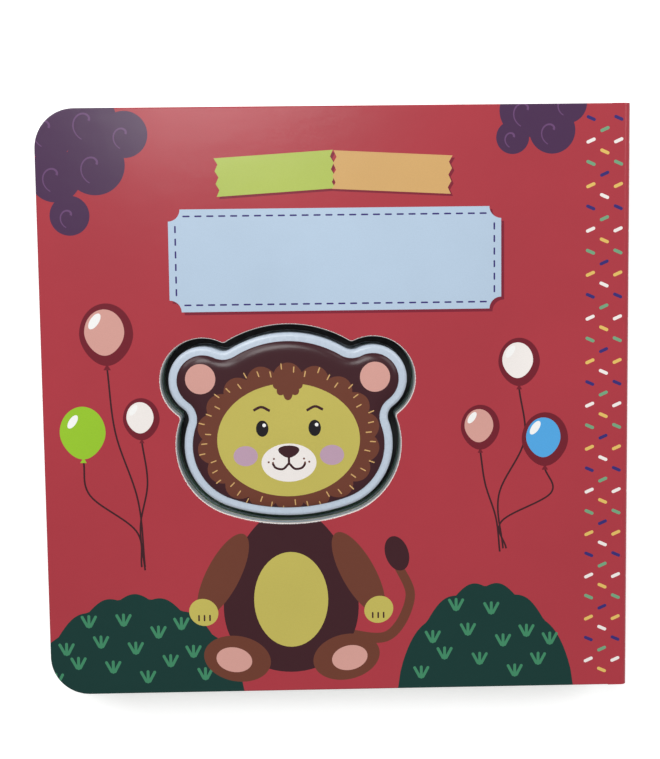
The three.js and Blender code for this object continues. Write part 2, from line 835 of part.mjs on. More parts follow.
/** The battery door, with a tongue at one end and a screw at the other. */
function makeDoor() {
  const [low, high] = [cellY - bayWidth / 2 - doorLip, cellY + bayWidth / 2 + doorLip];
  const [base, top] = [bezelInset, bezelInset + doorThickness];
  const plate = block([doorLeft + doorFit, low + doorFit, base], [doorRight - doorFit, high - doorFit, top]);
  const tongueLow = backBoard - doorThickness / 2;
  const tongue = block(
    [doorLeft - doorTongue + restGap, cellY - bayWidth / 4 + restGap, tongueLow],
    [doorLeft + doorFit + 1, cellY + bayWidth / 4 - restGap, top],
  );
  const grips = Array.from({ length: gripCount }, (_, number) => {
    const left = doorLeft + gripInset + number * gripPitch;
    return block(
      [left, cellY - gripLength / 2, base - 1],
      [left + gripWidth, cellY + gripLength / 2, base + gripDepth],
    );
  });
  const screwHole = rod(doorScrewX, cellY, screwShank + screwFit, base - 1, top + 1, 12);
  const sink = rod(doorScrewX, cellY, screwHead + screwFit, base - 1, base + doorScrewHead + pilotFit);
  const whole = solid(plate).add(solid(tongue));
  const opened = [...grips, screwHole, sink].reduce((body, part) => body.subtract(solid(part)), whole);
  piece(unit, "battery_door", shapeOf(opened), colours.bezel, 0.5);
}

/** A pan-head screw with a cross recess, its head facing down. */
function screw(name, x, y, headLow, headHeight, length) {
  const profile = [
    [0, headLow],
    [screwHead - 0.4, headLow],
    [screwHead, headLow + 0.4],
    [screwHead, headLow + headHeight],
    [screwShank, headLow + headHeight],
    [screwShank, headLow + length - 0.8],
    [0, headLow + length],
  ];
  const [long, short] = [recessLength / 2, recessWidth / 2];
  const recess = [
    block([x - long, y - short, headLow - 1], [x + long, y + short, headLow + recessDepth]),
    block([x - short, y - long, headLow - 1], [x + short, y + long, headLow + recessDepth]),
  ];
  piece(unit, name, cut(turned(x, y, profile, 12), ...recess), colours.steel, 0.3, 0.95);
}

/** The door's one screw and the four that close the case. */
function makeScrews() {
  const doorHeadLow = bezelInset + 0.15;
  screw("battery_door_screw", doorScrewX, cellY, doorHeadLow, doorScrewHead, doorScrewLength);
  caseScrewPlaces.forEach(([x, y], number) => {
    screw(`case_screw_${number + 1}`, x, y, backBoard + 0.1, screwHeadHeight, caseScrewLength);
  });
}

/** The slide switch on the back case's floor, and the knob that stands in its slot. */
function makeSwitch() {
  const base = caseFloor + 0.05;
  const body = block(
    [switchX - switchWidth / 2, switchY - switchLength / 2, base],
    [switchX + switchWidth / 2, switchY + switchLength / 2, base + switchDepth],
  );
  const slot = block(
    [switchX - knobWidth / 2, switchY - (knobLength + switchTravel) / 2 - restGap, base - 1],
    [switchX + knobWidth / 2, switchY + (knobLength + switchTravel) / 2 + restGap, base + 1.2],
  );
  piece(unit, "switch_body", cut(body, slot), colours.steel, 0.4, 0.8);
  const knobMiddle = switchY - switchTravel / 2;
  const stem = block(
    [switchX - knobWidth / 2 + 0.2, knobMiddle - knobLength / 2, bezelInset + 0.3],
    [switchX + knobWidth / 2 - 0.2, knobMiddle + knobLength / 2, base + 1],
  );
  const ridges = Array.from({ length: ridgeCount }, (_, number) => {
    const low = knobMiddle + (number - (ridgeCount - 1) / 2) * ridgePitch - ridgeWidth / 2;
    return block(
      [switchX - knobWidth, low, bezelInset],
      [switchX + knobWidth, low + ridgeWidth, bezelInset + ridgeDepth],
    );
  });
  piece(unit, "switch_knob", cut(stem, ...ridges), colours.plastic, 0.6);
}

/** A lead's points from the speaker's rim, up past the circuit board's edge and onto it. */
function speakerLead(x, onBoard) {
  const rim = speakerY + Math.sqrt((speakerRadius - 1) ** 2 - x ** 2);
  const boardEdge = boardY + boardHeight / 2;
  return [
    [x, rim, caseFloor + restGap + 0.8 + 0.55],
    [x - 0.1, Math.max(rim, boardEdge + 1.3), boardBase - 1.4],
    [x, boardEdge + 1.2, boardTop + 0.3],
    [x + 0.1, boardEdge - 0.4, onBoard + 0.5],
    [x + 0.2, boardEdge - 2.2, onBoard],
  ];
}

/** The thin leads inside the case, each from one terminal to the next. */
function makeLeads() {
  const lead = leadRadius;
  const over = boardTop + lead + 0.05;
  const deck = bayTop + bayWall + lead + 0.1;
  const routes = {
    lead_cell_minus: [
      [-bayLength / 2 - bayWall - 1, cellY, 5],
      [-bayLength / 2 - bayWall - 1.2, cellY + 3, 7.6],
      [-22.5, -4, 9.6],
      [-19, -1.2, over + 0.6],
      [-17.2, 1.5, over],
    ],
    lead_cell_plus: [
      [bayLength / 2 - 3, cellY + 2, deck],
      [bayLength / 2, cellY + 6, deck + 0.4],
      [switchX - 1.4, switchY - 8, 7.6],
      [switchX, switchY - switchLength / 2 - 1, 5.6],
    ],
    lead_switch: [
      [switchX, switchY + switchLength / 2 - 2, caseFloor + switchDepth + 0.7],
      [switchX - 1.2, switchY + 3.2, 8.6],
      [switchX - 4, switchY + 4.6, 10.2],
      [17.6, 6.8, over],
    ],
    lead_speaker_1: speakerLead(-5.5, over),
    lead_speaker_2: speakerLead(-2, over),
  };
  for (const [name, points] of Object.entries(routes)) {
    piece(unit, name, wire(points, lead), colours.copper, 0.6);
  }
}

makeBackCover();
makeSpacerFrame();
makeUnitPage();
makePages();
makeFrontCover();
makeSpineWrap();
makeBackCase();
makeFrontCase();
makeHeadShell();
makeFacePad();
makePill();
makeSprings();
makeCircuit();
makeSpeaker();
makeCells();
makeDoor();
makeScrews();
makeSwitch();
makeLeads();

export default book;
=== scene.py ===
# %% [markdown]
# # A sound book with a window through its pages
#
# You will build the look of a children's board book here. A window in the
# shape of an animal head is cut through the cover and the leaves, and a glossy
# head stands up in it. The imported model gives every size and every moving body.
# Your job is print, board, plastic and light.

import math

import bpy
import numpy as np
from mathutils import Matrix, Vector
from mathutils.geometry import delaunay_2d_cdt


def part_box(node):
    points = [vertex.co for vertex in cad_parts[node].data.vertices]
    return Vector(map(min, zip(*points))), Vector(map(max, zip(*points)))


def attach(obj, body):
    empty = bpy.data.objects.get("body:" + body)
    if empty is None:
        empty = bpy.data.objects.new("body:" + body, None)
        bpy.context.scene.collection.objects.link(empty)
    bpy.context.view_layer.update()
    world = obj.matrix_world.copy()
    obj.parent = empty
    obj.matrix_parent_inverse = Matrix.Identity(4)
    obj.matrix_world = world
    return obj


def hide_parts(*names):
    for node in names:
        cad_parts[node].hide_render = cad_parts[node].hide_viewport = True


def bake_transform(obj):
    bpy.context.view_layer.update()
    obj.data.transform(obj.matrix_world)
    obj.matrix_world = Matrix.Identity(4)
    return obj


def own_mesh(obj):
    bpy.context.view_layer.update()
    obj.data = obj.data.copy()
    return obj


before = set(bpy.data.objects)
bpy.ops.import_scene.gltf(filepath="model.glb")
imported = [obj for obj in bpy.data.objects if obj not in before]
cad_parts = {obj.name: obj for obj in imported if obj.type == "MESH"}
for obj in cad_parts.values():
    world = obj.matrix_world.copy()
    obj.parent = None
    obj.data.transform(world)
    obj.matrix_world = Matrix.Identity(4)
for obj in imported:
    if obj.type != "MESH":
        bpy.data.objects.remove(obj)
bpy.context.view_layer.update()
scene = bpy.context.scene
MM = 0.001

# %% [markdown]
# ## Sizes
#
# You could type every height again, but then the print would drift away from
# the boards if the model changed. So you read the heights from the nodes'
# boxes, and repeat only what a box can't tell: the arcs of the outlines. All
# lengths below are millimetres, because a printer thinks in them.

# %% Heights from the frame
def span(node, axis):
    """The low and high coordinate of a node along an axis, in millimetres."""
    low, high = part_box(node)
    return low[axis] / MM, high[axis] / MM


COVER = span("front_cover", 2)
PAGES = span("page_block", 2)
UNIT_PAGE = span("sound_unit_page", 2)
BACK = span("back_cover", 2)
PAD = span("face_pad", 2)
LEFT, BOARD_END = span("front_cover", 0)
BOTTOM, TOP = span("front_cover", 1)
FOLD, RIGHT = span("spine_wrap", 0)
BLOCK_END = span("page_block", 0)[1]
HEAD = [sum(span("face_pad", 0)) / 2, sum(span("front_case", 1)) / 2]
CORNER = 12.0
BEND = 2.0
CARD = 0.8
print("cover from", COVER, "head at", HEAD)

# %% [markdown]
# ## The head's outline
#
# A smooth closed outline can be a spline through points, but its offset is
# then only roughly parallel to it. Here it is a chain of arcs instead, each
# tangent to the next. When every bulge grows by a distance d and every hollow
# shrinks by d, the arcs stay tangent, so the window, the rim and the pad are
# exactly parallel.

# %% The chain of arcs
CROWN, CHEEK, EAR, FILLET = (0, -6, 34), (12, -6.5, 20), (26, 13.5, 10.5), 4.0
CHIN_Y = -28.5
WINDOW_GAP = 2.5


def once_round(count):
    """Angles evenly spaced once round a circle."""
    return np.linspace(0, 2 * np.pi, count, endpoint=False)


def directions(turn):
    """Points of the unit circle at some angles: (cos t, sin t)."""
    return np.stack([np.cos(turn), np.sin(turn)], 1)


def touching(first, second, radius, side):
    """The middle of a circle that touches two circles from outside.

    With reaches a and b from the two middles, c apart, it lies
    (a^2 - b^2 + c^2) / 2c along the line between them.
    """
    a, b = first[2] + radius, second[2] + radius
    step = np.subtract(second[:2], first[:2])
    apart = math.hypot(*step)
    along = (a * a - b * b + apart * apart) / (2 * apart)
    across = side * math.sqrt(a * a - along * along)
    turned = np.array([-step[1], step[0]])
    return np.array(first[:2]) + (along * step + across * turned) / apart


def head_arcs():
    """The arcs round the head, anticlockwise: x, y, radius, and 1 for a bulge or -1."""
    drop = CHIN_Y - CHEEK[1]
    chin_radius = (CHEEK[2] ** 2 - CHEEK[0] ** 2 - drop**2) / (2 * (drop + CHEEK[2]))
    under = (*touching(CHEEK, EAR, FILLET, -1), FILLET, -1)
    over = (*touching(EAR, CROWN, FILLET, -1), FILLET, -1)
    right = [(*CHEEK, 1), under, (*EAR, 1), over]
    left = [(-x, y, radius, bulge) for x, y, radius, bulge in reversed(right)]
    return [(0, CHIN_Y + chin_radius, chin_radius, 1), *right, (*CROWN, 1), *left]


def head_outline(offset=0.0, spacing=0.55):
    """Points round the head: middle + (radius + bulge * offset) * direction on each arc."""
    arcs = head_arcs()
    points = []
    for number, (x, y, radius, bulge) in enumerate(arcs):
        angles = []
        for other in (arcs[number - 1], arcs[(number + 1) % len(arcs)]):
            sign = -1 if bulge == other[3] and radius < other[2] else 1
            angles.append(math.atan2(sign * (other[1] - y), sign * (other[0] - x)))
        start, sweep = angles[0], angles[1] - angles[0]
        while bulge * sweep < 0:
            sweep += bulge * 2 * math.pi
        count = max(6, round(abs(sweep) * radius / spacing))
        turn = start + sweep * np.arange(count) / count
        points.append(directions(turn) * (radius + bulge * offset) + [x, y])
    return np.concatenate(points)


print("points round the head:", len(head_outline()))

# %% [markdown]
# The cover and the leaves have square corners at the spine and round ones at
# the fore-edge, which a child's hands meet first.

# %% The boards' outline
CORNER_STEPS = 24


def board_outline(inset=0.0, right=BOARD_END):
    """A board with round corners at the fore-edge, moved inwards on all sides but the spine's."""
    turn = np.linspace(np.pi / 2, np.pi, CORNER_STEPS + 1)
    arc = directions(turn) * (CORNER - inset)
    upper = arc + [LEFT + CORNER, TOP - CORNER]
    lower = (arc * [1, -1])[::-1] + [LEFT + CORNER, BOTTOM + CORNER]
    ends = [[right, BOTTOM + inset], [right, TOP - inset]]
    return np.concatenate([ends, upper, lower])


print("points round a board:", len(board_outline()))

# %% [markdown]
# ## Cutting print into a surface
#
# A picture could be laid over the board as an image, but this book's print is
# made of flat fields of ink. So you cut the fields into the mesh itself. A
# constrained Delaunay triangulation takes every outline as edges that must
# stay, and each triangle then takes the last field that covers its middle, as
# paint over paint. The edges of the ink stay sharp at any distance.

# %% Triangles that keep every outline
def covered(points, outline):
    """True for points inside a closed outline, by counting the edges a ray to +X crosses."""
    x, y = points[:, :1], points[:, 1:]
    x0, y0 = outline[:, 0], outline[:, 1]
    x1, y1 = np.roll(x0, -1), np.roll(y0, -1)
    spans = (y0 > y) != (y1 > y)
    slope = np.divide(x1 - x0, y1 - y0, out=np.zeros_like(x0), where=y1 != y0)
    return (spans & (x < x0 + (y - y0) * slope)).sum(1) % 2 == 1


def triangulate(loops, lines=(), dots=()):
    """Points and triangles that keep closed loops, open lines and loose dots."""
    points, edges = [], []
    for path, closed in [(p, True) for p in loops] + [(p, False) for p in lines]:
        first, count = len(points), len(path)
        points += [Vector(map(float, point)) for point in path]
        steps = range(count if closed else count - 1)
        edges += [(first + i, first + (i + 1) % count) for i in steps]
    points += [Vector(map(float, dot)) for dot in dots]
    made = delaunay_2d_cdt(points, edges, [], 0, 1e-5)
    flat = np.array([tuple(point) for point in made[0]])
    faces = np.array(made[2])
    a, b, c = (flat[faces[:, corner]] for corner in range(3))
    (ux, uy), (vx, vy) = (b - a).T, (c - a).T
    area = ux * vy - uy * vx
    faces[area < 0] = faces[area < 0][:, ::-1]
    return flat, faces[np.abs(area) > 1e-9]


def inked(outline, holes, motifs, base, loops=(), lines=(), dots=()):
    """Triangles of one printed surface, and the number of the ink on each.

    The motifs are (ink, outline), from back to front, over a base ink.
    """
    edges = [outline, *holes, *loops, *[shape for _, shape in motifs]]
    flat, faces = triangulate(edges, lines, dots)
    middle = flat[faces].mean(1)
    keep = covered(middle, outline)
    for hole in holes:
        keep &= ~covered(middle, hole)
    faces, middle = faces[keep], middle[keep]
    ink = np.full(len(faces), INK[base])
    for name, shape in motifs:
        ink[covered(middle, shape)] = INK[name]
    return flat, faces, ink


BATCH = 4000


def distance(points, outlines):
    """How far each point is from the nearest edge of the outlines."""
    nearest = np.full(len(points), np.inf)
    for outline in outlines:
        start, step = outline, np.roll(outline, -1, 0) - outline
        length = np.maximum((step**2).sum(1), 1e-12)
        for low in range(0, len(points), BATCH):
            rows = points[low : low + BATCH, None]
            share = np.clip(((rows - start) * step).sum(2) / length, 0, 1)
            gap = np.linalg.norm(rows - start - share[..., None] * step, axis=2).min(1)
            nearest[low : low + BATCH] = np.minimum(nearest[low : low + BATCH], gap)
    return nearest

# %% [markdown]
# Every sheet is then closed into a body: the triangles on top, the same
# triangles upside down below, and a wall along each edge that belongs to only
# one triangle.

# %% Closing a sheet into a body
def closed(upper, lower, faces, ink, edge_ink):
    """Corners, faces and inks of a closed body between an upper and a lower surface.

    The ink is one name for the whole body, or a number for each triangle.
    """
    if isinstance(ink, str):
        ink = np.full(len(faces), INK[ink])
    used, flat_faces = np.unique(faces, return_inverse=True)
    faces = flat_faces.reshape(faces.shape)
    upper, lower = upper[used], lower[used]
    count = len(used)
    sides = faces[:, [0, 1, 1, 2, 2, 0]].reshape(-1, 2)
    key = sides.min(1) * count + sides.max(1)
    _, index, times = np.unique(key, return_index=True, return_counts=True)
    a, b = sides[index[times == 1]].T
    walls = np.stack([a, a + count, b + count, b], 1)
    below = faces[:, ::-1] + count
    all_faces = [*faces.tolist(), *below.tolist(), *walls.tolist()]
    inks = np.concatenate([ink, ink, np.full(len(walls), INK[edge_ink])])
    return np.concatenate([upper, lower]), all_faces, inks


def raised(flat, height):
    """Flat points at one height, or each at its own."""
    return np.column_stack([flat, np.zeros(len(flat)) + height])


def placed(name, data):
    """A new object with that data, in the scene."""
    made = bpy.data.objects.new(name, data)
    scene.collection.objects.link(made)
    return made


LEVEL = 0.9999


def build(name, bodies, inks, sharp=40.0, flat_tops=True):
    """One mesh object from closed bodies in millimetres, with a material for each ink used."""
    corners, faces, numbers, first = [], [], [], 0
    for points, some, ink in bodies:
        faces += [[corner + first for corner in face] for face in some]
        corners.append(points)
        numbers.append(ink)
        first += len(points)
    mesh = bpy.data.meshes.new(name)
    mesh.from_pydata((np.concatenate(corners) * MM).tolist(), [], faces)
    numbers = np.concatenate(numbers).astype(int)
    used, slots = np.unique(numbers, return_inverse=True)
    for number in used:
        mesh.materials.append(inks[number])
    mesh.polygons.foreach_set("material_index", slots.astype(np.int32))
    mesh.update()
    mesh.set_sharp_from_angle(angle=math.radians(sharp))
    normals = np.zeros(len(faces) * 3)
    mesh.polygons.foreach_get("normal", normals)
    level = np.abs(normals.reshape(-1, 3)[:, 2]) > LEVEL
    mesh.polygons.foreach_set("use_smooth", ~(level & flat_tops))
    print(name, len(faces), "faces")
    return placed(name, mesh)

# %% [markdown]
# ## Finishes
#
# Each finish is a small node tree. A helper turns the familiar sRGB hex code
# of a colour into the linear values that the shader works in, and another adds
# a node with its settings and links in one line. Patterns take their scale from
# real sizes: a noise of scale 1 / size repeats about once in that size.

# %% Helpers for node trees
def linear(code):
    """sRGB hex to linear: c / 12.92 below 0.04045, else ((c + 0.055) / 1.055) ^ 2.4."""
    values = [int(code[i : i + 2], 16) / 255 for i in (1, 3, 5)]
    return [c / 12.92 if c <= 0.04045 else ((c + 0.055) / 1.055) ** 2.4 for c in values] + [1.0]


def add(tree, kind, settings=None, **inputs):
    """Adds a node, sets its properties, and fills its inputs with values or links."""
    node = tree.nodes.new(kind)
    for name, value in (settings or {}).items():
        setattr(node, name, value)
    for name, value in inputs.items():
        socket = node.inputs[int(name[1:]) if name[0] == "i" and name[1:].isdigit() else name]
        if isinstance(value, bpy.types.NodeSocket):
            tree.links.new(value, socket)
        else:
            socket.default_value = value
    return node


def noise(tree, size, detail=3.0, stretch=(1, 1, 1)):
    """A noise whose lumps are about size metres across, stretched along the axes."""
    place = add(tree, "ShaderNodeTexCoord").outputs["Object"]
    scale = [1 / factor for factor in stretch]
    mapped = add(tree, "ShaderNodeMapping", i0=place, i3=scale).outputs[0]
    made = add(tree, "ShaderNodeTexNoise", Vector=mapped, Scale=1 / size, Detail=detail)
    return made.outputs["Fac"]


def ranged(tree, value, low, high, start=0.3, end=0.7):
    """Spreads a value from start..end over low..high."""
    made = add(tree, "ShaderNodeMapRange", i0=value, i1=start, i2=end, i3=low, i4=high)
    return made.outputs[0]


def mixed(tree, share, first, second):
    """A colour between two, by a share from 0 to 1."""
    made = add(tree, "ShaderNodeMix", {"data_type": "RGBA"}, i0=share, i6=first, i7=second)
    return made.outputs[2]


def bumped(tree, height, depth):
    """A bump whose full height is depth metres."""
    return add(tree, "ShaderNodeBump", Height=height, Distance=depth, Strength=1.0).outputs[0]


def finish(name, **constants):
    """A new material, its tree and its shader, with constants set on the shader's sockets."""
    made = bpy.data.materials.new(name)
    made.use_nodes = True
    tree = made.node_tree
    shader = tree.nodes["Principled BSDF"]
    for key, value in constants.items():
        shader.inputs[key.replace("_", " ")].default_value = value
    return made, tree, shader


def wire_up(tree, shader, **links):
    """Links values to the shader's sockets."""
    for key, value in links.items():
        tree.links.new(value, shader.inputs[key.replace("_", " ")])


def shade(code, factor):
    """A colour made darker or lighter by a factor."""
    return [min(1.0, value * factor) for value in linear(code)[:3]] + [1.0]


def tinted(tree, share, code, low, high):
    """A colour between two shades of one code, by a share from 0 to 1."""
    return mixed(tree, share, shade(code, low), shade(code, high))

# %% [markdown]
# Ink on board under a clear film is the main finish. One flat colour would
# look like plastic. Real ink varies by a few per cent over some centimetres and
# grains at a tenth of a millimetre, and the film over it ripples a little.

# %% Ink under film
def printed(name, code):
    """Offset ink on coated board, under a glossy film."""
    made, tree, shader = finish(name, Coat_Weight=0.5, Coat_Roughness=0.2, Specular_IOR_Level=0.08)
    drift = ranged(tree, noise(tree, 0.035), 0.0, 1.0)
    grain = ranged(tree, noise(tree, 0.0003, 1.0), 0.0, 1.0)
    even = tinted(tree, drift, code, 0.94, 1.05)
    spotted = tinted(tree, grain, code, 0.93, 1.06)
    colour = mixed(tree, 0.4, even, spotted)
    rough = ranged(tree, noise(tree, 0.004), 0.36, 0.48)
    ripple = bumped(tree, noise(tree, 0.006, 2.0), 0.00003)
    wire_up(tree, shader, Base_Color=colour, Roughness=rough, Normal=ripple, Coat_Normal=ripple)
    return made


def raw_board(name, code, layer=0.00022):
    """The cut edge of pressed board: thin layers one above another, with loose fibres."""
    made, tree, shader = finish(name, Specular_IOR_Level=0.25)
    layers = noise(tree, layer, 2.0, (14, 14, 1))
    fibres = noise(tree, 0.0005, 4.0)
    colour = tinted(tree, ranged(tree, layers, 0, 1), code, 0.78, 1.1)
    flecked = mixed(tree, ranged(tree, fibres, 0, 0.5), colour, shade(code, 0.85))
    height = bumped(tree, layers, 0.00006)
    rough = ranged(tree, fibres, 0.82, 0.95)
    wire_up(tree, shader, Base_Color=flecked, Roughness=rough, Normal=height)
    return made

# %% [markdown]
# Moulded plastic shows how its mould was finished. A polished mould gives a
# gloss with faint waves, and a spark-eroded one gives an even, fine pitting.
# Moulded rubber has a dusty bloom. Metal is its own colour in the reflection,
# with streaks along the rolling. All four are the same recipe with other
# sizes: clouds in the colour, grain in the roughness and waves in the surface.

# %% Plastic, rubber and metal
def recipe(name, code, clouds, shades, grain, rough, waves, depth, **constants):
    """A finish from three noises, each given as its (size, detail, stretch)."""
    made, tree, shader = finish(name, **constants)
    colour = tinted(tree, ranged(tree, noise(tree, *clouds), 0, 1), code, *shades)
    roughness = ranged(tree, noise(tree, *grain), *rough)
    normal = bumped(tree, noise(tree, *waves), depth)
    wire_up(tree, shader, Base_Color=colour, Roughness=roughness, Normal=normal)
    return made


def polished_plastic(name, code):
    """Plastic from a polished mould, lightly handled."""
    grain, waves = (0.0015, 4.0), (0.012, 1.0)
    return recipe(name, code, (0.02,), (0.97, 1.02), grain, (0.2, 0.34), waves, 0.00005,
                  Coat_Weight=0.3, Coat_Roughness=0.08)


def eroded_plastic(name, code):
    """Plastic from a spark-eroded mould: fine pits and a soft sheen."""
    pits = (0.0004, 2.0)
    return recipe(name, code, (0.015,), (0.93, 1.06), pits, (0.45, 0.62), pits, 0.00004)


def soft_rubber(name, code):
    """Moulded rubber with a dusty bloom."""
    bloom, grain, waves = (0.003, 4.0), (0.001,), (0.0003,)
    return recipe(name, code, bloom, (0.8, 1.5), grain, (0.7, 0.9), waves, 0.00003,
                  Specular_IOR_Level=0.35)


def plated_metal(name, code, stretch=(12, 1, 1), rough=(0.2, 0.36)):
    """Nickel-plated steel or drawn aluminium, with fine streaks one way."""
    streaks = (0.0003, 4.0, stretch)
    return recipe(name, code, (0.004,), (0.88, 1.04), streaks, rough, streaks, 0.000008,
                  Metallic=1.0)


def board_resin(name, code):
    """Glass-fibre board under green lacquer, where the weave shows faintly."""
    made, tree, shader = finish(name, Coat_Weight=0.4, Coat_Roughness=0.2)
    across = noise(tree, 0.0006, 0.0, (9, 1, 1))
    along = noise(tree, 0.0006, 0.0, (1, 9, 1))
    weave = add(tree, "ShaderNodeMath", {"operation": "ADD"}, i0=across, i1=along).outputs[0]
    colour = tinted(tree, ranged(tree, weave, 0, 1, 0.8, 1.2), code, 0.75, 1.25)
    rough = ranged(tree, weave, 0.3, 0.45, 0.8, 1.2)
    wire_up(tree, shader, Base_Color=colour, Roughness=rough, Normal=bumped(tree, weave, 0.00002))
    return made

# %% [markdown]
# Now name the inks. Blue-red is the field that everything else sits on, and
# the rest are the few colours of a bright nursery print.

# %% The inks and the board
INK_CODES = {
    "red": "#A8343F",
    "deep_red": "#7C1C30",
    "violet": "#46284C",
    "pale_violet": "#684470",
    "sky": "#B2C6DA",
    "leaf": "#ACBC58",
    "orange": "#CEA468",
    "maroon": "#6E1626",
    "lime": "#93C12A",
    "rose": "#D29C92",
    "cream": "#ECE6E2",
    "blue": "#4FA3DE",
    "pine": "#05342F",
    "grass": "#3C8560",
    "cocoa": "#3A161E",
    "tan": "#6A3828",
    "honey": "#BFB358",
    "blush": "#B99AAE",
    "soot": "#161217",
    "navy": "#33286E",
    "mint": "#6FA07C",
    "sand": "#DDB962",
    "snow": "#F2F2F0",
}
INK = {name: number for number, name in enumerate(INK_CODES)}
inks = [printed("ink_" + name + "_under_film", code) for name, code in INK_CODES.items()]
INK["board"], INK["liner"] = len(inks), len(inks) + 1
inks += [raw_board("cut_white_board", "#E4E1D8"), raw_board("cut_cover_board", "#D6D0C6", 0.00035)]
print(len(inks), "finishes for print and board")

# %% [markdown]
# ## The shapes of the print
#
# Each field of ink is one closed outline, worked out by a short formula: an
# ellipse, a rounded dash, a stroke of even width along a line, a cloud made of
# circles. A motif is then only a list of (ink, outline), from back to front.

# %% Simple outlines
ARC_POINTS = 9


def ellipse(x, y, wide, high=None, turn=0.0, count=48):
    """(wide cos t, high sin t), turned by some degrees about its middle."""
    points = directions(once_round(count)) * [wide, high or wide]
    return turned(points, turn) + [x, y]


def turned(points, degrees):
    """Points turned about the origin."""
    cos, sin = math.cos(math.radians(degrees)), math.sin(math.radians(degrees))
    return np.asarray(points, float) @ np.array([[cos, sin], [-sin, cos]])


def dash(x, y, length, width, turn=0.0):
    """A short stroke with round ends: two half circles of the stroke's half width."""
    half_circle = directions(np.linspace(-np.pi / 2, np.pi / 2, ARC_POINTS))
    end = half_circle * width / 2 + [(length - width) / 2, 0]
    return turned(np.concatenate([end, -end]), turn) + [x, y]


def stroke(path, width, taper=1.0):
    """A line drawn with an even pen: the path moved half a width to each side of itself."""
    path = np.asarray(path, float)
    along = np.gradient(path, axis=0)
    side = np.stack([-along[:, 1], along[:, 0]], 1) / np.linalg.norm(along, axis=1)[:, None]
    half = (width / 2) * np.linspace(1, taper, len(path))[:, None]
    return np.concatenate([path + side * half, (path - side * half)[::-1]])


def curve(points, count=40):
    """A smooth line through a few points, by Catmull and Rom's cubic between each two."""
    p = np.asarray(points, float)
    p = np.concatenate([[2 * p[0] - p[1]], p, [2 * p[-1] - p[-2]]])
    made = []
    for a, b, c, d in zip(p, p[1:], p[2:], p[3:]):
        t = np.linspace(0, 1, max(4, count // (len(p) - 3)), endpoint=False)[:, None]
        made.append(0.5 * (2 * b + (c - a) * t + (2 * a - 5 * b + 4 * c - d) * t**2
                           + (3 * b - a - 3 * c + d) * t**3))
    return np.concatenate([*made, p[-2:-1]])


def rounded(x, y, wide, high, radius, turn=0.0, hollow=False):
    """A rectangle with round corners, or with corners cut out round, as on a ticket."""
    points = []
    for quarter, (sx, sy) in enumerate([(1, 1), (-1, 1), (-1, -1), (1, -1)]):
        t = np.linspace(0, np.pi / 2, ARC_POINTS) + quarter * np.pi / 2
        if hollow:
            middle = [sx * wide / 2, sy * high / 2]
            t = (t + np.pi)[::-1]
        else:
            middle = [sx * (wide / 2 - radius), sy * (high / 2 - radius)]
        points.append(directions(t) * radius + middle)
    return turned(np.concatenate(points), turn) + [x, y]

# %% [markdown]
# A balloon is an ellipse whose lower half narrows. You draw it with its
# highlight, its knot and the string, so that one call gives a whole balloon.

# %% Balloons, clouds and hills
def balloon(x, y, size, ink, light, end):
    """A balloon of that half width, its highlight and knot, and a string down to an end point."""
    tall = 1.16
    t = once_round(60)
    narrow = 1 - 0.16 * np.maximum(0, -np.sin(t)) ** 1.5
    form = np.stack([np.cos(t) * narrow, np.sin(t) * tall], 1) * size
    foot = y - tall * size
    flare, flare_y = 0.14 * size, foot - 0.16 * size
    knot = np.array([[x, foot + 0.6], [x - flare, flare_y], [x + flare, flare_y]])
    sway = [(x, foot - 0.1 * size), (x + 0.25 * size, (2 * foot + end[1]) / 3),
            (end[0] - 0.2 * size, (foot + 2 * end[1]) / 3), end]
    glint = ellipse(x - 0.42 * size, y + 0.5 * size, 0.16 * size, 0.34 * size, -35, 20)
    lit = form * 0.86 * 0.86 + [x - 0.07 * size, y + 0.08 * size]
    return [
        ("cocoa", stroke(curve(sway, 36), 0.55)),
        (ink, knot),
        (ink, form + [x, y]),
        (light, lit),
        ("snow", glint),
    ]


def cloud(parts, ink, light):
    """Circles of one ink that run together, with a lighter curl in each."""
    made = [(ink, ellipse(x, y, radius)) for x, y, radius in parts]
    start, end = 0.4, 4.4
    t = np.linspace(start, end, 22)
    for x, y, radius in parts:
        spiral = directions(t) * (radius * 0.62 * t / end)[:, None]
        made.append((light, stroke(spiral + [x, y], 0.7, 0.4)))
    return made


GOLDEN = 0.618034


def hill(left, right, height, bumps, marks):
    """A hill whose top is height * sin(pi s)^0.6 with small bumps, and tufts on rows of it."""
    s = np.linspace(0, 1, 70)
    top = BOTTOM + height * np.sin(np.pi * s) ** 0.6 + 1.6 * np.abs(np.sin(bumps * np.pi * s))
    ridge = np.stack([left + (right - left) * s, top], 1)
    made = [("pine", np.concatenate([ridge, [[right, BOTTOM - 2], [left, BOTTOM - 2]]]))]
    for number in range(marks):
        share = (number * GOLDEN + 0.13) % 1.0
        across = 0.1 + 0.8 * ((number + 0.5) / marks)
        x = left + (right - left) * across
        room = height * math.sin(math.pi * across) ** 0.6 - 6
        y = BOTTOM + 3.5 + max(room, 0) * share
        for lean in (-28, 0, 28):
            blade = dash(0, 0, 4.2, 0.9, 90 - lean) + [x + 1.3 * lean / 28, y]
            made.append(("grass", blade))
    return made

# %% [markdown]
# A ticket with cut-out corners and two strips of paper are printed where such a
# book has its title. They stay bare here. Each has a darker copy of itself
# below it and to the right, as a printed shadow.

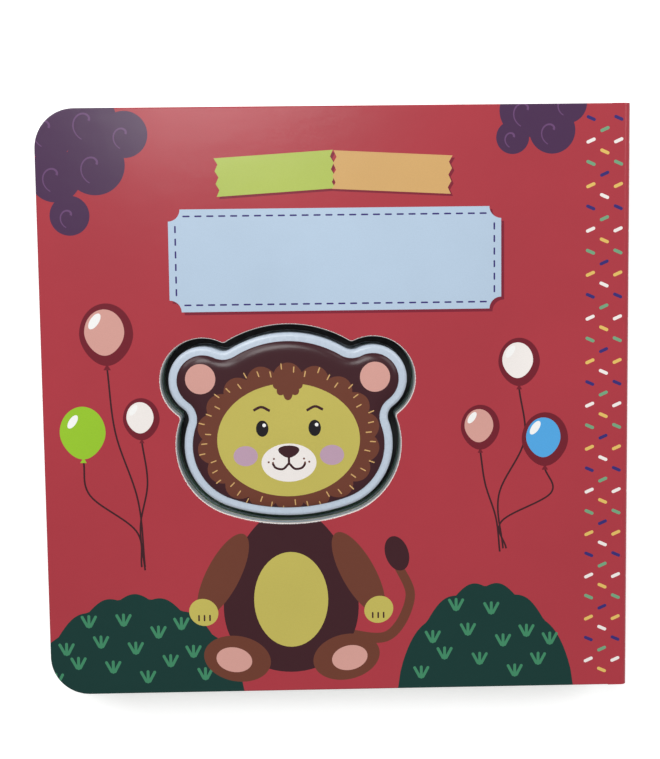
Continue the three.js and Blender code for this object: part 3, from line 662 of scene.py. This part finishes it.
# %% The ticket and the strips
def plaque(x, y, wide, high):
    """A bare ticket with a stitched edge and a soft printed shadow."""
    made = [
        ("deep_red", rounded(x + 0.9, y - 0.9, wide, high, 3.6, hollow=True)),
        ("sky", rounded(x, y, wide, high, 3.6, hollow=True)),
    ]
    inset, length, width = 2.1, 2.2, 0.5
    for side in (-1, 1):
        row, column = y + side * (high / 2 - inset), x + side * (wide / 2 - inset)
        for place in np.linspace(x - wide / 2 + 5.5, x + wide / 2 - 5.5, 26):
            made.append(("navy", dash(place, row, length, width)))
        for place in np.linspace(y - high / 2 + 6, y + high / 2 - 6, 6):
            made.append(("navy", dash(column, place, length, width, 90)))
    return made


def paper_strip(x, y, wide, high, tilt, ink):
    """A bare strip of paper with pinked ends: the ends go in and out by a fixed step."""
    teeth = 7
    steps = np.linspace(-high / 2, high / 2, teeth)
    zig = np.where(np.arange(teeth) % 2, 1.0, 0.0)
    right = np.stack([wide / 2 - zig, steps], 1)
    shape = np.concatenate([right, -right])
    shape = turned(shape, tilt)
    return [("deep_red", shape + [x + 0.7, y - 0.7]), (ink, shape + [x, y])]

# %% [markdown]
# An animal sits below the head. It is a pear of one ink with ellipses over it,
# and each arm and foot is drawn once and mirrored.

# %% The seated body
def seated_body(x, y):
    """A plain sitting animal below the head: tail, body, belly, arms and feet."""
    t = once_round(80)
    pear = np.stack([np.cos(t) * (20.5 - 4.5 * np.sin(t)), np.sin(t) * 26], 1) + [x, y]
    tail = curve([(x + 15, y - 14), (x + 30, y - 15), (x + 37, y - 3), (x + 33, y + 8)], 40)
    made = [
        ("tan", stroke(tail, 3.4, 0.8)),
        ("cocoa", ellipse(x + 33, y + 11, 3.6, 5.6, 18)),
        ("cocoa", pear),
        ("honey", ellipse(x, y - 3, 11.5, 15)),
    ]
    for side in (-1, 1):
        made += [
            ("tan", ellipse(x + side * 21, y + 5, 5.2, 14.5, side * 28)),
            ("honey", ellipse(x + side * 27.2, y - 6.6, 4.6, 4.2, side * 28)),
            ("tan", ellipse(x + side * 17, y - 21.5, 10.5, 7.2, side * 12)),
            ("rose", ellipse(x + side * 18, y - 21.8, 5.6, 3.9, side * 12)),
        ]
        for toe in (-1, 0, 1):
            made.append(("cocoa", dash(x + side * 27 + toe * 1.7, y - 8.4, 2.0, 0.5, 90)))
    return made

# %% [markdown]
# ## The front cover's picture
#
# The cover is laid out as the printer lays it out: one flat sheet, with the
# front on the left and the spine unrolled to the right of it. Along the sheet
# you count a length u. Up to the bend it is the same as x.

# %% The picture, back to front
DASH_ROWS = 26


def confetti(left, right, rows, columns):
    """Short dashes in rows and columns, leaning by turns, in four inks."""
    made = []
    four = ["navy", "cream", "mint", "sand"]
    margin, stagger, slant, length, width = 4.5, 3.3, 24, 3.0, 1.0
    for column in range(columns):
        u = left + (right - left) * column / max(columns - 1, 1)
        for row in range(rows):
            v = TOP - margin - stagger * (column % 2) - row * (TOP - BOTTOM - 6) / rows
            lean = slant if (row + column) % 2 else -slant
            made.append((four[(row + 2 * column) % 4], dash(u, v, length, width, lean)))
    return made


def cover_picture():
    """All motifs of the front cover and the spine."""
    west = [(-86, 84, 9), (-74, 86, 9), (-84, 70, 8), (-72, 73, 9), (-63, 82, 7), (-80, 58, 6)]
    east = [(58, 88, 8), (66, 82, 7), (70.5, 90, 6), (54, 80, 5)]
    made = cloud(west, "violet", "pale_violet") + cloud(east, "violet", "pale_violet")
    made += hill(-97, -30, 30, 7, 15) + hill(18, 73, 32, 6, 12)
    for x, y, size, ink, light, end in (
        (-70, 22, 8.2, "maroon", "rose", (-60, -50)),
        (-78, -8, 7.0, "lime", "lime", (-61, -50)),
        (-60, -4, 5.6, "maroon", "cream", (-60, -51)),
        (56, 12, 6.4, "maroon", "cream", (51, -46)),
        (64, -12, 7.2, "maroon", "blue", (52, -46)),
        (44, -8, 6.0, "maroon", "rose", (50, -47)),
    ):
        made += balloon(x, y, size, ink, light, end)
    made += seated_body(-15, -58)
    made += plaque(0, 44, 101, 31)
    made += paper_strip(-18, 70, 36, 11.5, 3.5, "leaf")
    made += paper_strip(17.5, 70, 36, 11.5, -3.0, "orange")
    made += confetti(77.8, 86.2, DASH_ROWS, 3)
    made += confetti(91.4, 107.5, DASH_ROWS, 4)
    return made


picture = cover_picture()
print("the cover's picture has", len(picture), "fields")

# %% [markdown]
# ## Wrapping the sheet round the book
#
# The flat sheet bends round the spine in two quarter circles. A point at
# length u along the sheet, and at a depth below its outer face, goes to the
# point of the spine's section at that length, moved back along the normal.
# The sheet is cut at the fold, so that the front part turns with the cover, a
# narrow strip bends over the fold, and the rest stays on the spine.

# %% From the flat sheet to the section of the spine
QUARTER = BEND * math.pi / 2
U_TOP = RIGHT - BEND
U_SIDE = U_TOP + QUARTER
U_LOW = U_SIDE + COVER[1] - 2 * BEND
U_BACK = U_LOW + QUARTER
STRIP = BOARD_END - 3.3
U_END = U_BACK + (RIGHT - BEND - STRIP)
FOLD_END = FOLD + 0.15


def wrapped(u, y, depth):
    """Places a point of the sheet: straight, quarter circle, straight, quarter circle, straight."""
    first = np.clip((u - U_TOP) / BEND, 0, np.pi / 2)
    second = np.clip((u - U_LOW) / BEND, 0, np.pi / 2)
    turn = first + second
    normal_x, normal_z = np.sin(turn), np.cos(turn)
    level = np.minimum(u, U_TOP) - np.maximum(u - U_BACK, 0)
    drop = np.clip(u - U_SIDE, 0, U_LOW - U_SIDE)
    middle_z = COVER[1] - BEND - drop
    x = level + BEND * normal_x
    z = middle_z + BEND * normal_z
    return np.stack([x - depth * normal_x, y, z - depth * normal_z], 1)


FILM = 0.12
ROLL = 0.4
COARSE = (0.15, ROLL)
FINE = (0.05, 0.15, 0.28, ROLL)


def rolled(inward):
    """How far a die-cut edge is pressed down: r - sqrt(r^2 - (r - d)^2) within r of the edge."""
    near = np.clip(ROLL - inward, 0, ROLL)
    return ROLL - np.sqrt(ROLL**2 - near**2)


def board_rings(right, steps=COARSE):
    """Lines just inside a board's edge, for the mesh to roll down at."""
    return [board_outline(step, right) for step in steps]


def window_rings(steps=COARSE):
    """Lines just outside the window's edge, for the same."""
    return [head_outline(WINDOW_GAP + step) + HEAD for step in steps]


window = head_outline(WINDOW_GAP) + HEAD
round_lengths = [*np.linspace(U_TOP, U_SIDE, ARC_POINTS), *np.linspace(U_LOW, U_BACK, ARC_POINTS)]
fold_lengths = [STRIP, *np.arange(FOLD - 0.45, FOLD + 0.5, 0.15), FOLD_END]
sheet, sheet_faces, sheet_ink = inked(
    board_outline(0, U_END),
    [window],
    picture,
    "red",
    [*window_rings(FINE), *board_rings(U_END, FINE)],
    [np.array([[u, BOTTOM], [u, TOP]]) for u in fold_lengths + round_lengths],
)
print("the cover's sheet:", len(sheet), "points,", len(sheet_faces), "triangles")

# %% [markdown]
# A board is a core of pressed board between two printed sheets. The core's
# edges roll down as the sheet's do, so the cut edge looks pressed and not sawn.

# %% Cores and sheets
def between(low, high):
    """The sheet's triangles whose middle lies between two lengths u."""
    middle = sheet[sheet_faces][:, :, 0].mean(1)
    keep = (middle > low) & (middle < high)
    return sheet_faces[keep], sheet_ink[keep]


OUT_OF_REACH = 9


def free_edges(right, hole):
    """The edges that roll: the spine side doesn't, so it is moved out of reach."""
    return [board_outline(0, right + OUT_OF_REACH), hole]


def level_sheet(flat, faces, ink, height, edges, up=1, edge_ink="liner"):
    """A closed sheet at a height, facing up or down, rolled off at its edges."""
    fall = rolled(distance(flat, edges))
    outer = raised(flat, height - up * fall)
    inner = raised(flat, height - up * (fall + FILM))
    upper, lower = (outer, inner) if up > 0 else (inner, outer)
    return closed(upper, lower, faces, ink, edge_ink)


def core(flat, faces, low, high, edges, ink="board"):
    """The board itself, between heights low and high, under a sheet on each face."""
    fall = rolled(distance(flat, edges)) + FILM
    return closed(raised(flat, high - fall), raised(flat, low + fall), faces, ink, ink)


def windowed(right, motifs=(), base="red"):
    """Points, triangles and inks of a board with the window in it."""
    loops = [*board_rings(right), *window_rings()]
    return inked(board_outline(0, right), [window], motifs, base, loops)

# %% [markdown]
# The inside of the cover and the first page get a quieter picture of their
# own: a pale sky with dots inside the cover, and hills under a sun on the page.

# %% The front cover
def inside_picture():
    """Dots on a grid, with every second row moved half a step."""
    made = []
    four = ["cream", "blue", "leaf", "rose"]
    near_window = head_outline(WINDOW_GAP + 5) + HEAD
    pitch = 15
    for row in range(12):
        for column in range(12):
            x = LEFT + 9 + pitch * (column + (row % 2) / 2)
            y = BOTTOM + 8 + pitch * row
            free = not covered(np.array([[x, y]]), near_window)[0]
            if x < BOARD_END - 6 and y < TOP - 5 and free:
                made.append((four[(row + column) % 4], ellipse(x, y, 2.6, count=24)))
    return made


CUT_RIM = 0.2
sheet_ink[distance(sheet[sheet_faces].mean(1), [window]) < CUT_RIM] = INK["cream"]
front_edges = free_edges(BOARD_END, window)
front = build(
    "front_cover_print",
    [
        level_sheet(sheet, *between(LEFT - 1, STRIP), COVER[1], front_edges),
        core(*windowed(BOARD_END)[:2], *COVER, front_edges, "liner"),
        level_sheet(*windowed(BOARD_END, inside_picture(), "sky"), COVER[0], front_edges, -1),
    ],
    inks,
)
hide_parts("front_cover")
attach(front, "front_cover")

# %% [markdown]
# The strip over the fold has to bend as the cover opens. Here it is made
# once, bent round the spine as the closed book has it. The rest of the sheet
# lies on a card core round the spine.

# %% The fold strip and the spine
def wrapped_sheet(low, high):
    """The part of the printed sheet between two lengths, as a closed skin round the book."""
    faces, ink = between(low, high)
    u, y = sheet.T
    outer = wrapped(u, y, 0 * u)
    inner = wrapped(u, y, 0 * u + FILM)
    return closed(outer, inner, faces, ink, "liner")


fold_strip = build("cover_fold_strip", [wrapped_sheet(STRIP, FOLD_END)], inks, 30, False)
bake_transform(fold_strip)


def card_core():
    """The card under the printed sheet on the spine, from the fold to the back."""
    along = np.array([FOLD_END, *round_lengths, U_BACK + RIGHT - BEND - FOLD])
    across = np.array([BOTTOM + 0.05, TOP - 0.05])
    u, y = (grid.ravel() for grid in np.meshgrid(along, across, indexing="ij"))
    count = len(along) - 1
    first = 2 * np.arange(count)
    faces = np.concatenate([
        np.stack([first, first + 2, first + 3], 1),
        np.stack([first, first + 3, first + 1], 1),
    ])
    outer = wrapped(u, y, 0 * u + FILM)
    inner = wrapped(u, y, 0 * u + CARD)
    return closed(outer, inner, faces, "liner", "liner")


spine = build("spine_wrap_print", [wrapped_sheet(FOLD_END, U_END), card_core()], inks, 30, False)
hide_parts("spine_wrap")
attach(spine, "book")

# %% [markdown]
# ## The leaves
#
# All leaves have the same outline, so one triangulation serves them all. Each
# is a white core between two thin layers of print, and what you see of them,
# in the window and at the fore-edge, is that layering.

# %% The leaves, as one block
LEAF_INKS = ["grass", "sky", "mint", "cream", "leaf"]
LEAVES = len(LEAF_INKS)
LEAF = 1.7
GAP = (PAGES[1] - PAGES[0] - LEAVES * LEAF) / (LEAVES - 1)


def page_picture():
    """A pale sky, a sun, two clouds and two hills, all plain."""
    made = [("sand", ellipse(52, 62, 13)), ("honey", ellipse(52, 62, 9.5))]
    for x, y in ((-62, 66), (10, 74)):
        for step in (-9, 0, 9):
            made.append(("snow", ellipse(x + step, y - 0.2 * abs(step), 8 - 0.3 * abs(step))))
    made += hill(-98, 20, 26, 9, 16)
    made += hill(-10, 98, 34, 8, 18)
    return made


leaf = windowed(BLOCK_END)[:2]
leaf_edges = free_edges(BLOCK_END, window)


def leaf_core(low, high):
    """The board of one leaf."""
    return core(*leaf, low, high, leaf_edges)


def leaf_sheet(ink, height, up=1):
    """The layer of print on a leaf's upper or lower face, in one ink."""
    return level_sheet(*leaf, ink, height, leaf_edges, up, "mint")


leaves = []
for number in range(LEAVES):
    low = PAGES[0] + number * (LEAF + GAP)
    leaves += [leaf_core(low, low + LEAF), leaf_sheet(LEAF_INKS[number - 1], low, -1)]
    if number < LEAVES - 1:
        leaves.append(leaf_sheet(LEAF_INKS[number], low + LEAF))
first_page = windowed(BLOCK_END, page_picture(), "sky")
leaves.append(level_sheet(*first_page, PAGES[1], leaf_edges, 1, "mint"))


def bar(low, high):
    """A closed box between two corners, as two triangles on top and below and four walls."""
    (x0, y0, z0), (x1, y1, z1) = low, high
    flat = np.array([[x0, y0], [x1, y0], [x1, y1], [x0, y1]], float)
    faces = np.array([[0, 1, 2], [0, 2, 3]])
    return closed(raised(flat, z1), raised(flat, z0), faces, "board", "board")


GLUE = 5.0
BITE = 0.05
for number in range(LEAVES - 1):
    low = PAGES[0] + LEAF + number * (LEAF + GAP)
    start = (BLOCK_END - GLUE, BOTTOM + ROLL, low - BITE)
    leaves.append(bar(start, (BLOCK_END, TOP - ROLL, low + GAP + BITE)))
pages = build("page_block_leaves", leaves, inks)
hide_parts("page_block")
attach(pages, "book")

# %% [markdown]
# The last page is glued over the sound unit. It has the leaves' outline and
# layers, so it is one more leaf at another height.

# %% The page over the sound unit
unit_sheets = [leaf_sheet("grass", UNIT_PAGE[1]), leaf_sheet("grass", UNIT_PAGE[0], -1)]
unit_page = build("sound_unit_page_print", [leaf_core(*UNIT_PAGE), *unit_sheets], inks)
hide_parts("sound_unit_page")
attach(unit_page, "book")

# %% [markdown]
# The back cover carries the same red field with a few dashes, and a hole for
# the sound unit's bezel. Its hole is a plain rounded rectangle.

# %% The back cover
BEZEL_WIDE, BEZEL_HIGH, BEZEL_CORNER = 62, 50, 5


def bezel_outline(step=0):
    """The edge of the bezel's hole, moved outwards by a step."""
    return rounded(*HEAD, BEZEL_WIDE + 2 * step, BEZEL_HIGH + 2 * step, BEZEL_CORNER + step)


def holed(right, motifs=()):
    """Points, triangles and inks of a board with the bezel's hole in it."""
    loops = [*board_rings(right), *(bezel_outline(step) for step in COARSE)]
    return inked(board_outline(0, right), [bezel_outline()], motifs, "red", loops)


back_edges = free_edges(BOARD_END, bezel_outline())
back_board = holed(BOARD_END)[:2]
back = build(
    "back_cover_print",
    [
        core(*back_board, *BACK, back_edges, "liner"),
        level_sheet(*holed(STRIP, confetti(75.0, 79.6, DASH_ROWS, 2)), BACK[0], back_edges, -1),
        level_sheet(*back_board, "cream", BACK[1], back_edges),
    ],
    inks,
)
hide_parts("back_cover")
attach(back, "book")

# %% [markdown]
# ## The head
#
# The head's shell is a section carried round the outline: outside wall, round
# top edge, top, and inside wall. Each ring is the outline at another offset, so
# all rings have the same number of points and join point to point.

# %% A section carried round the head
def joined(rings, looped=False):
    """Four-sided faces from each ring to the next and, if looped, from the last to the first."""
    count = len(rings[0])
    here = np.arange(count)
    after = (here + 1) % count
    faces = []
    for ring in range(len(rings) if looped else len(rings) - 1):
        low, high = ring * count, (ring + 1) % len(rings) * count
        faces += np.stack([low + here, low + after, high + after, high + here], 1).tolist()
    return faces


def capped(section):
    """A closed body from (offset, height) pairs: rings round the head, and a cap at each end."""
    outlines = [head_outline(offset) for offset, _ in section]
    rings = [raised(outline + HEAD, z) for outline, (_, z) in zip(outlines, section)]
    faces = joined(rings)
    for outline, first, turn in ((outlines[0], 0, -1),
                                 (outlines[-1], (len(rings) - 1) * len(rings[0]), 1)):
        flat, cap = triangulate([outline])
        cap = cap[covered(flat[cap].mean(1), outline)]
        faces += (cap[:, ::turn] + first).tolist()
    return np.concatenate(rings), faces, np.zeros(len(faces), int)

# %% [markdown]
# The cup's section starts under its plate, goes down inside the wall, round the
# flange that holds it in its case, up outside and over the rounded edge. Three
# hollow posts stand over the springs, and a fourth carries the rubber pill.

# %% The cup and its posts
SHELL_TOP = PAD[0]
PLATE = SHELL_TOP - 1.8
FLANGE = 8.0
FLANGE_TOP = FLANGE + 1.2
FLANGE_OUT = 1.4
EDGE = 1.2
WALL = 1.6
SMALL = 0.15
edge = EDGE * (directions(np.linspace(0, np.pi / 2, ARC_POINTS)) - 1) + [0, SHELL_TOP]
cup = capped(
    [
        (-WALL, PLATE),
        (-WALL, FLANGE + SMALL),
        (-WALL + SMALL, FLANGE),
        (FLANGE_OUT - SMALL, FLANGE),
        (FLANGE_OUT, FLANGE + SMALL),
        (FLANGE_OUT, FLANGE_TOP - SMALL),
        (FLANGE_OUT - SMALL, FLANGE_TOP),
        (SMALL, FLANGE_TOP),
        (0, FLANGE_TOP + SMALL),
        *edge,
    ]
)


def tube(x, y, bore, radius, foot):
    """A hollow post under the shell's plate: a closed section turned about its axis."""
    turn = once_round(32)
    chamfer, high = 0.1, PLATE + 0.2
    section = [(bore, high), (bore, foot + chamfer), (bore + chamfer, foot),
               (radius - chamfer, foot), (radius, foot + chamfer), (radius, high)]
    middle = [HEAD[0] + x, HEAD[1] + y]
    rings = [raised(directions(turn) * r + middle, z) for r, z in section]
    faces = joined(rings, looped=True)
    return np.concatenate(rings), faces, np.zeros(len(faces), int)


SPRING_TUBES = [(-25, 12.5), (25, 12.5), (0, -23.9)]
tubes = [tube(x, y, 2.0, 3.1, 14.5) for x, y in SPRING_TUBES]
pill_tube = tube(0, 3, 1.5, 3.4, 12.05)
head_plastic = polished_plastic("polished_white_plastic", "#BCC9D8")
shell = build("head_shell_moulded", [cup, *tubes, pill_tube], [head_plastic], 35, False)
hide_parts("head_shell")
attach(shell, "head_button")

# %% [markdown]
# ## The face on the head
#
# The face is a plain lion-like one: a ring of mane, a round face, two eyes, a
# nose and a mouth. Its measures are taken from the middle of the head.

# %% The face's fields
def face_picture():
    """The face's motifs about the head's middle, back to front."""
    made = []
    tufts, hairs, mane_y = 18, 44, -4.2
    for number in range(tufts):
        turn = 2 * math.pi * (number + 0.5) / tufts
        x, y = 22.2 * math.cos(turn), 17.2 * math.sin(turn) + mane_y
        made.append(("tan", ellipse(x, y, 5.9, 4.9, math.degrees(turn))))
    for number in range(hairs):
        turn = 2 * math.pi * (number + 0.5) / hairs
        reach = 1.0 + 0.05 * (number % 3)
        x, y = 24.6 * reach * math.cos(turn), 20.0 * reach * math.sin(turn) + mane_y
        made.append(("orange", dash(x, y, 1.9, 0.36, math.degrees(turn))))
    made.append(("honey", ellipse(0, -4.8, 21.8, 17.4, count=100)))
    for side in (-1, 1):
        brow = curve([(side * 5.6, 4.2), (side * 8.2, 5.4), (side * 10.6, 4.4)], 16)
        made += [
            ("rose", ellipse(side * 26.6, 14.2, 4.6)),
            ("blush", ellipse(side * 13.2, -9.6, 3.7, 3.1)),
            ("soot", ellipse(side * 8.0, -1.2, 1.9, 2.5)),
            ("snow", ellipse(side * 8.0 + 0.6, -0.2, 0.55)),
            ("cocoa", stroke(brow, 0.8)),
        ]
    made.append(("cream", ellipse(0, -11.8, 8.4, 5.9, count=70)))
    pen = 0.7
    t = once_round(36)
    nose = np.stack([3.1 * np.cos(t) * (1 + 0.32 * np.sin(t)), 1.9 * np.sin(t)], 1) + [0, -8.4]
    made.append(("cocoa", nose))
    made.append(("cocoa", stroke([(0, -10), (0, -11), (0, -12.2)], pen)))
    for side in (-1, 1):
        corners = [(0, -12.0), (side * 1.8, -13.7), (side * 4.0, -13.4), (side * 5.0, -12.0)]
        made.append(("cocoa", stroke(curve(corners, 24), pen)))
        for x, y in ((4.6, -10.6), (6.2, -11.6), (4.9, -11.8)):
            made.append(("tan", ellipse(side * x, y, 0.32, count=12)))
    t = once_round(40)
    for lean, size in ((-52, 5.4), (52, 5.4), (-26, 6.2), (26, 6.2), (0, 7.2)):
        lock = np.stack([1.9 * np.sin(t) * np.sin(t / 2), -size * (1 - np.cos(t)) / 2], 1)
        made.append(("tan", turned(lock, lean) + [0, 14.6]))
    return made

# %% [markdown]
# The face is cut into a pad whose edge rises like a pillow's: the height above
# the rim is h * sqrt(1 - (1 - d / w)^2) at a distance d from the edge, up to
# the width w. From there on it goes up only a little, to the middle. Loose
# points on a staggered grid give the flat fields enough mesh to curve.

# %% The puffed pad
PAD_RIM = -2.6
PUFF = 3.2
DOME = 20
RIM_HEIGHT = 0.05
GRID = 1.6
pad_edge = head_outline(PAD_RIM)
pad_rings = [head_outline(PAD_RIM - step) for step in (0.1, 0.3, 0.7, 1.3, 2.1, 3.0)]
grid_x, grid_y = np.meshgrid(np.arange(-36, 37, GRID), np.arange(-30, 30, GRID))
grid_x = grid_x + GRID / 2 * (np.arange(grid_x.shape[0])[:, None] % 2)
dots = np.stack([grid_x.ravel(), grid_y.ravel()], 1)
dots = dots[covered(dots, head_outline(PAD_RIM - 3.4))]
pad_flat, pad_faces, pad_ink = inked(pad_edge, [], face_picture(), "cocoa", pad_rings, (), dots)
inward = distance(pad_flat, [pad_edge])
rise = (PAD[1] - PAD[0] - RIM_HEIGHT) * np.sqrt(1 - (1 - np.clip(inward / PUFF, 0, 1)) ** 2)
full = 0.82 + 0.18 * np.clip(inward / DOME, 0, 1)
pad_up = raised(pad_flat + HEAD, PAD[0] + RIM_HEIGHT + rise * full)
pad_low = raised(pad_flat + HEAD, PAD[0])
pad_body = closed(pad_up, pad_low, pad_faces, pad_ink, "cocoa")
pad = build("face_pad_print", [pad_body], inks, 60, False)
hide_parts("face_pad")
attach(pad, "head_button")

# %% [markdown]
# ## The sound unit's pieces
#
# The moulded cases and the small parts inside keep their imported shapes. They
# get rounded edges from a bevel, after a weld that joins the corners of the
# triangles, and the finish of what they are made of.

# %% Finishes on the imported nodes
def dress(node, material, bevel):
    """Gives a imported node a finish, and a small round on its sharp edges."""
    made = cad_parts[node]
    made.data.materials.clear()
    made.data.materials.append(material)
    weld = made.modifiers.new("weld", "WELD")
    weld.merge_threshold = 0.00001
    if bevel:
        edge = made.modifiers.new("edge", "BEVEL")
        edge.width = bevel * MM
        edge.segments = 2
        edge.limit_method = "ANGLE"
        edge.angle_limit = math.radians(40)
        edge.harden_normals = True


case = eroded_plastic("eroded_white_plastic", "#DAD8D2")
dark = eroded_plastic("eroded_black_plastic", "#2B2C30")
nickel = plated_metal("nickel_plated_steel", "#B4B3AE")
cell = plated_metal("drawn_nickel_steel", "#C4C3BD", (1, 1, 1), (0.16, 0.3))
can = plated_metal("drawn_aluminium", "#B8BABD")
resin = board_resin("green_circuit_board", "#1D5A3B")
epoxy = soft_rubber("black_cast_resin", "#1B1B1C")
rubber = soft_rubber("carbon_rubber", "#232323")
film = polished_plastic("clear_brown_film", "#3A332C")
red_lead = soft_rubber("red_lead_insulation", "#8A2A22")
black_lead = soft_rubber("black_lead_insulation", "#26221F")
grey_board = raw_board("grey_spacer_board", "#B9B3A6", 0.0004)
for material, bevel, nodes in (
    (case, 0.15, "back_case"),
    (case, 0.12, "battery_door"),
    (dark, 0.15, "front_case"),
    (dark, 0.1, "switch_knob"),
    (grey_board, 0.25, "spacer_frame"),
    (resin, 0.08, "circuit_board"),
    (rubber, 0.12, "contact_pill"),
    (epoxy, 0, "sound_chip"),
    (epoxy, 0.06, "resistor"),
    (can, 0.08, "capacitor"),
    (film, 0, "speaker_cone"),
    (nickel, 0.06, "speaker_basket speaker_magnet switch_body battery_door_screw"),
    (nickel, 0.06, "cell_link_top cell_link_bottom contact_plus contact_minus"),
    (nickel, 0.06, "case_screw_1 case_screw_2 case_screw_3 case_screw_4"),
    (cell, 0.1, "button_cell_1 button_cell_2 button_cell_3"),
    (red_lead, 0, "lead_cell_plus lead_speaker_1 lead_switch"),
    (black_lead, 0, "lead_cell_minus lead_speaker_2"),
):
    for node in nodes.split():
        dress(node, material, bevel)
print("dressed the packed nodes")

# %% [markdown]
# A compression spring's foot stands still while its top goes down with the
# head, so neither body truly carries it. Here you draw each coil anew, with its
# end turns closed as a spring maker winds them, and it rides on the book at its
# packed length.

# %% The three springs
COIL_TURNS = 6.5
TURN_STEPS = 24
WIRE = 0.3


def coil(node):
    """A coil in a packed spring's box: a round section carried up a helix."""
    (x0, x1), (y0, y1), (low, high) = (span(node, axis) for axis in range(3))
    middle = [(x0 + x1) / 2, (y0 + y1) / 2]
    reach = (x1 - x0) / 2 - WIRE
    t = np.linspace(0, COIL_TURNS, round(COIL_TURNS * TURN_STEPS) + 1)
    ends = [low + WIRE, low + 3 * WIRE, high - 3 * WIRE, high - WIRE]
    z = np.interp(t, [0, 1, COIL_TURNS - 1, COIL_TURNS], ends)
    out = raised(directions(2 * np.pi * t), 0)
    line = reach * out + raised(np.full((len(t), 2), middle), z)
    a = once_round(10)[None, :, None]
    rings = line[:, None] + WIRE * (np.cos(a) * out[:, None] + np.sin(a) * [0, 0, 1])
    faces = [[face[0], *face[:0:-1]] for face in joined(rings)]
    numbers = np.arange(rings[..., 0].size).reshape(len(rings), -1)
    faces += [numbers[0].tolist(), numbers[-1, ::-1].tolist()]
    return rings.reshape(-1, 3), faces, np.zeros(len(faces), int), middle, low, high


for side in ("left", "right", "chin"):
    node = "return_spring_" + side
    *body, middle, low, high = coil(node)
    spring = build(node + "_coil", [body], [nickel], 60, False)
    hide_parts(node)
    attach(spring, "book")
    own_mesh(spring)

# %% [markdown]
# ## Floor, light and camera
#
# A pale floor shows colours as they are. It looks white to the camera through
# a light path switch, so that no more light is needed on the book.

# %% Floor
floor_mesh = bpy.data.meshes.new("floor")
floor_mesh.from_pydata([(-3, -3, 0), (3, -3, 0), (3, 3, 0), (-3, 3, 0)], [], [(0, 1, 2, 3)])
floor = placed("floor", floor_mesh)
paper, paper_tree, paper_shader = finish(
    "white_floor",
    Base_Color=linear("#F4F4F4"),
    Roughness=0.9,
    Specular_IOR_Level=0.1,
    Emission_Color=(1, 1, 1, 1),
)
seen = add(paper_tree, "ShaderNodeLightPath").outputs["Is Camera Ray"]
glow = add(paper_tree, "ShaderNodeMapRange", i0=seen, i3=0.0, i4=0.4).outputs[0]
wire_up(paper_tree, paper_shader, Emission_Strength=glow)
floor_mesh.materials.append(paper)

# %% [markdown]
# Two large soft lamps light the print evenly, and a smaller one overhead draws
# the gloss along the head's puffed edge. The world adds a dim white from all
# sides, and the camera sees it as full white.

# %% Lights
def lamp(name, place, size, power):
    """A square area light at a place, turned to the origin."""
    data = bpy.data.lights.new(name, "AREA")
    data.size, data.energy = size, power
    made = placed(name, data)
    made.location = place
    made.rotation_euler = (-Vector(place)).to_track_quat("-Z", "Y").to_euler()


lamp("key", (-0.45, 0.6, 0.72), 0.6, 3.8)
lamp("fill", (0.6, 0.45, 0.7), 0.6, 2.8)
lamp("overhead", (-0.1, 0.31, 0.85), 0.25, 1.7)
world = bpy.data.worlds.new("studio")
world.use_nodes = True
sky = world.node_tree
ray = add(sky, "ShaderNodeLightPath").outputs["Is Camera Ray"]
strength = add(sky, "ShaderNodeMapRange", i0=ray, i3=0.45, i4=1.0).outputs[0]
sky.links.new(strength, sky.nodes["Background"].inputs["Strength"])
sky.nodes["Background"].inputs["Color"].default_value = (1, 1, 1, 1)
scene.world = world
scene.view_settings.view_transform = "Standard"

# %% [markdown]
# The camera stands where the four corners of the cover fit the photograph's
# corners, and is turned a little about its own line of sight. Its focal length
# is counted in pixels of the picture's width.

# %% Camera
WIDE, HIGH = 660, 759
FOCAL_PIXELS = 1150
SENSOR = 36.0
TILT = math.radians(-0.803841)
eye = Vector((-8.7, 35.5, 350.9 + COVER[1])) * MM
aim = Vector((-2.1, 7.4, COVER[1])) * MM
camera_data = bpy.data.cameras.new("camera")
camera = placed("camera", camera_data)
back_axis = (eye - aim).normalized()
right_axis = Vector((math.cos(TILT), math.sin(TILT), 0))
right_axis = (right_axis - back_axis * right_axis.dot(back_axis)).normalized()
up_axis = back_axis.cross(right_axis)
facing = Matrix((right_axis, up_axis, back_axis)).transposed().to_4x4()
camera.matrix_world = Matrix.Translation(eye) @ facing
camera_data.sensor_fit = "HORIZONTAL"
camera_data.sensor_width = SENSOR
camera_data.lens = SENSOR * FOCAL_PIXELS / WIDE
camera_data.clip_start = 0.01
scene.camera = camera
scene.render.resolution_x = WIDE
scene.render.resolution_y = HIGH
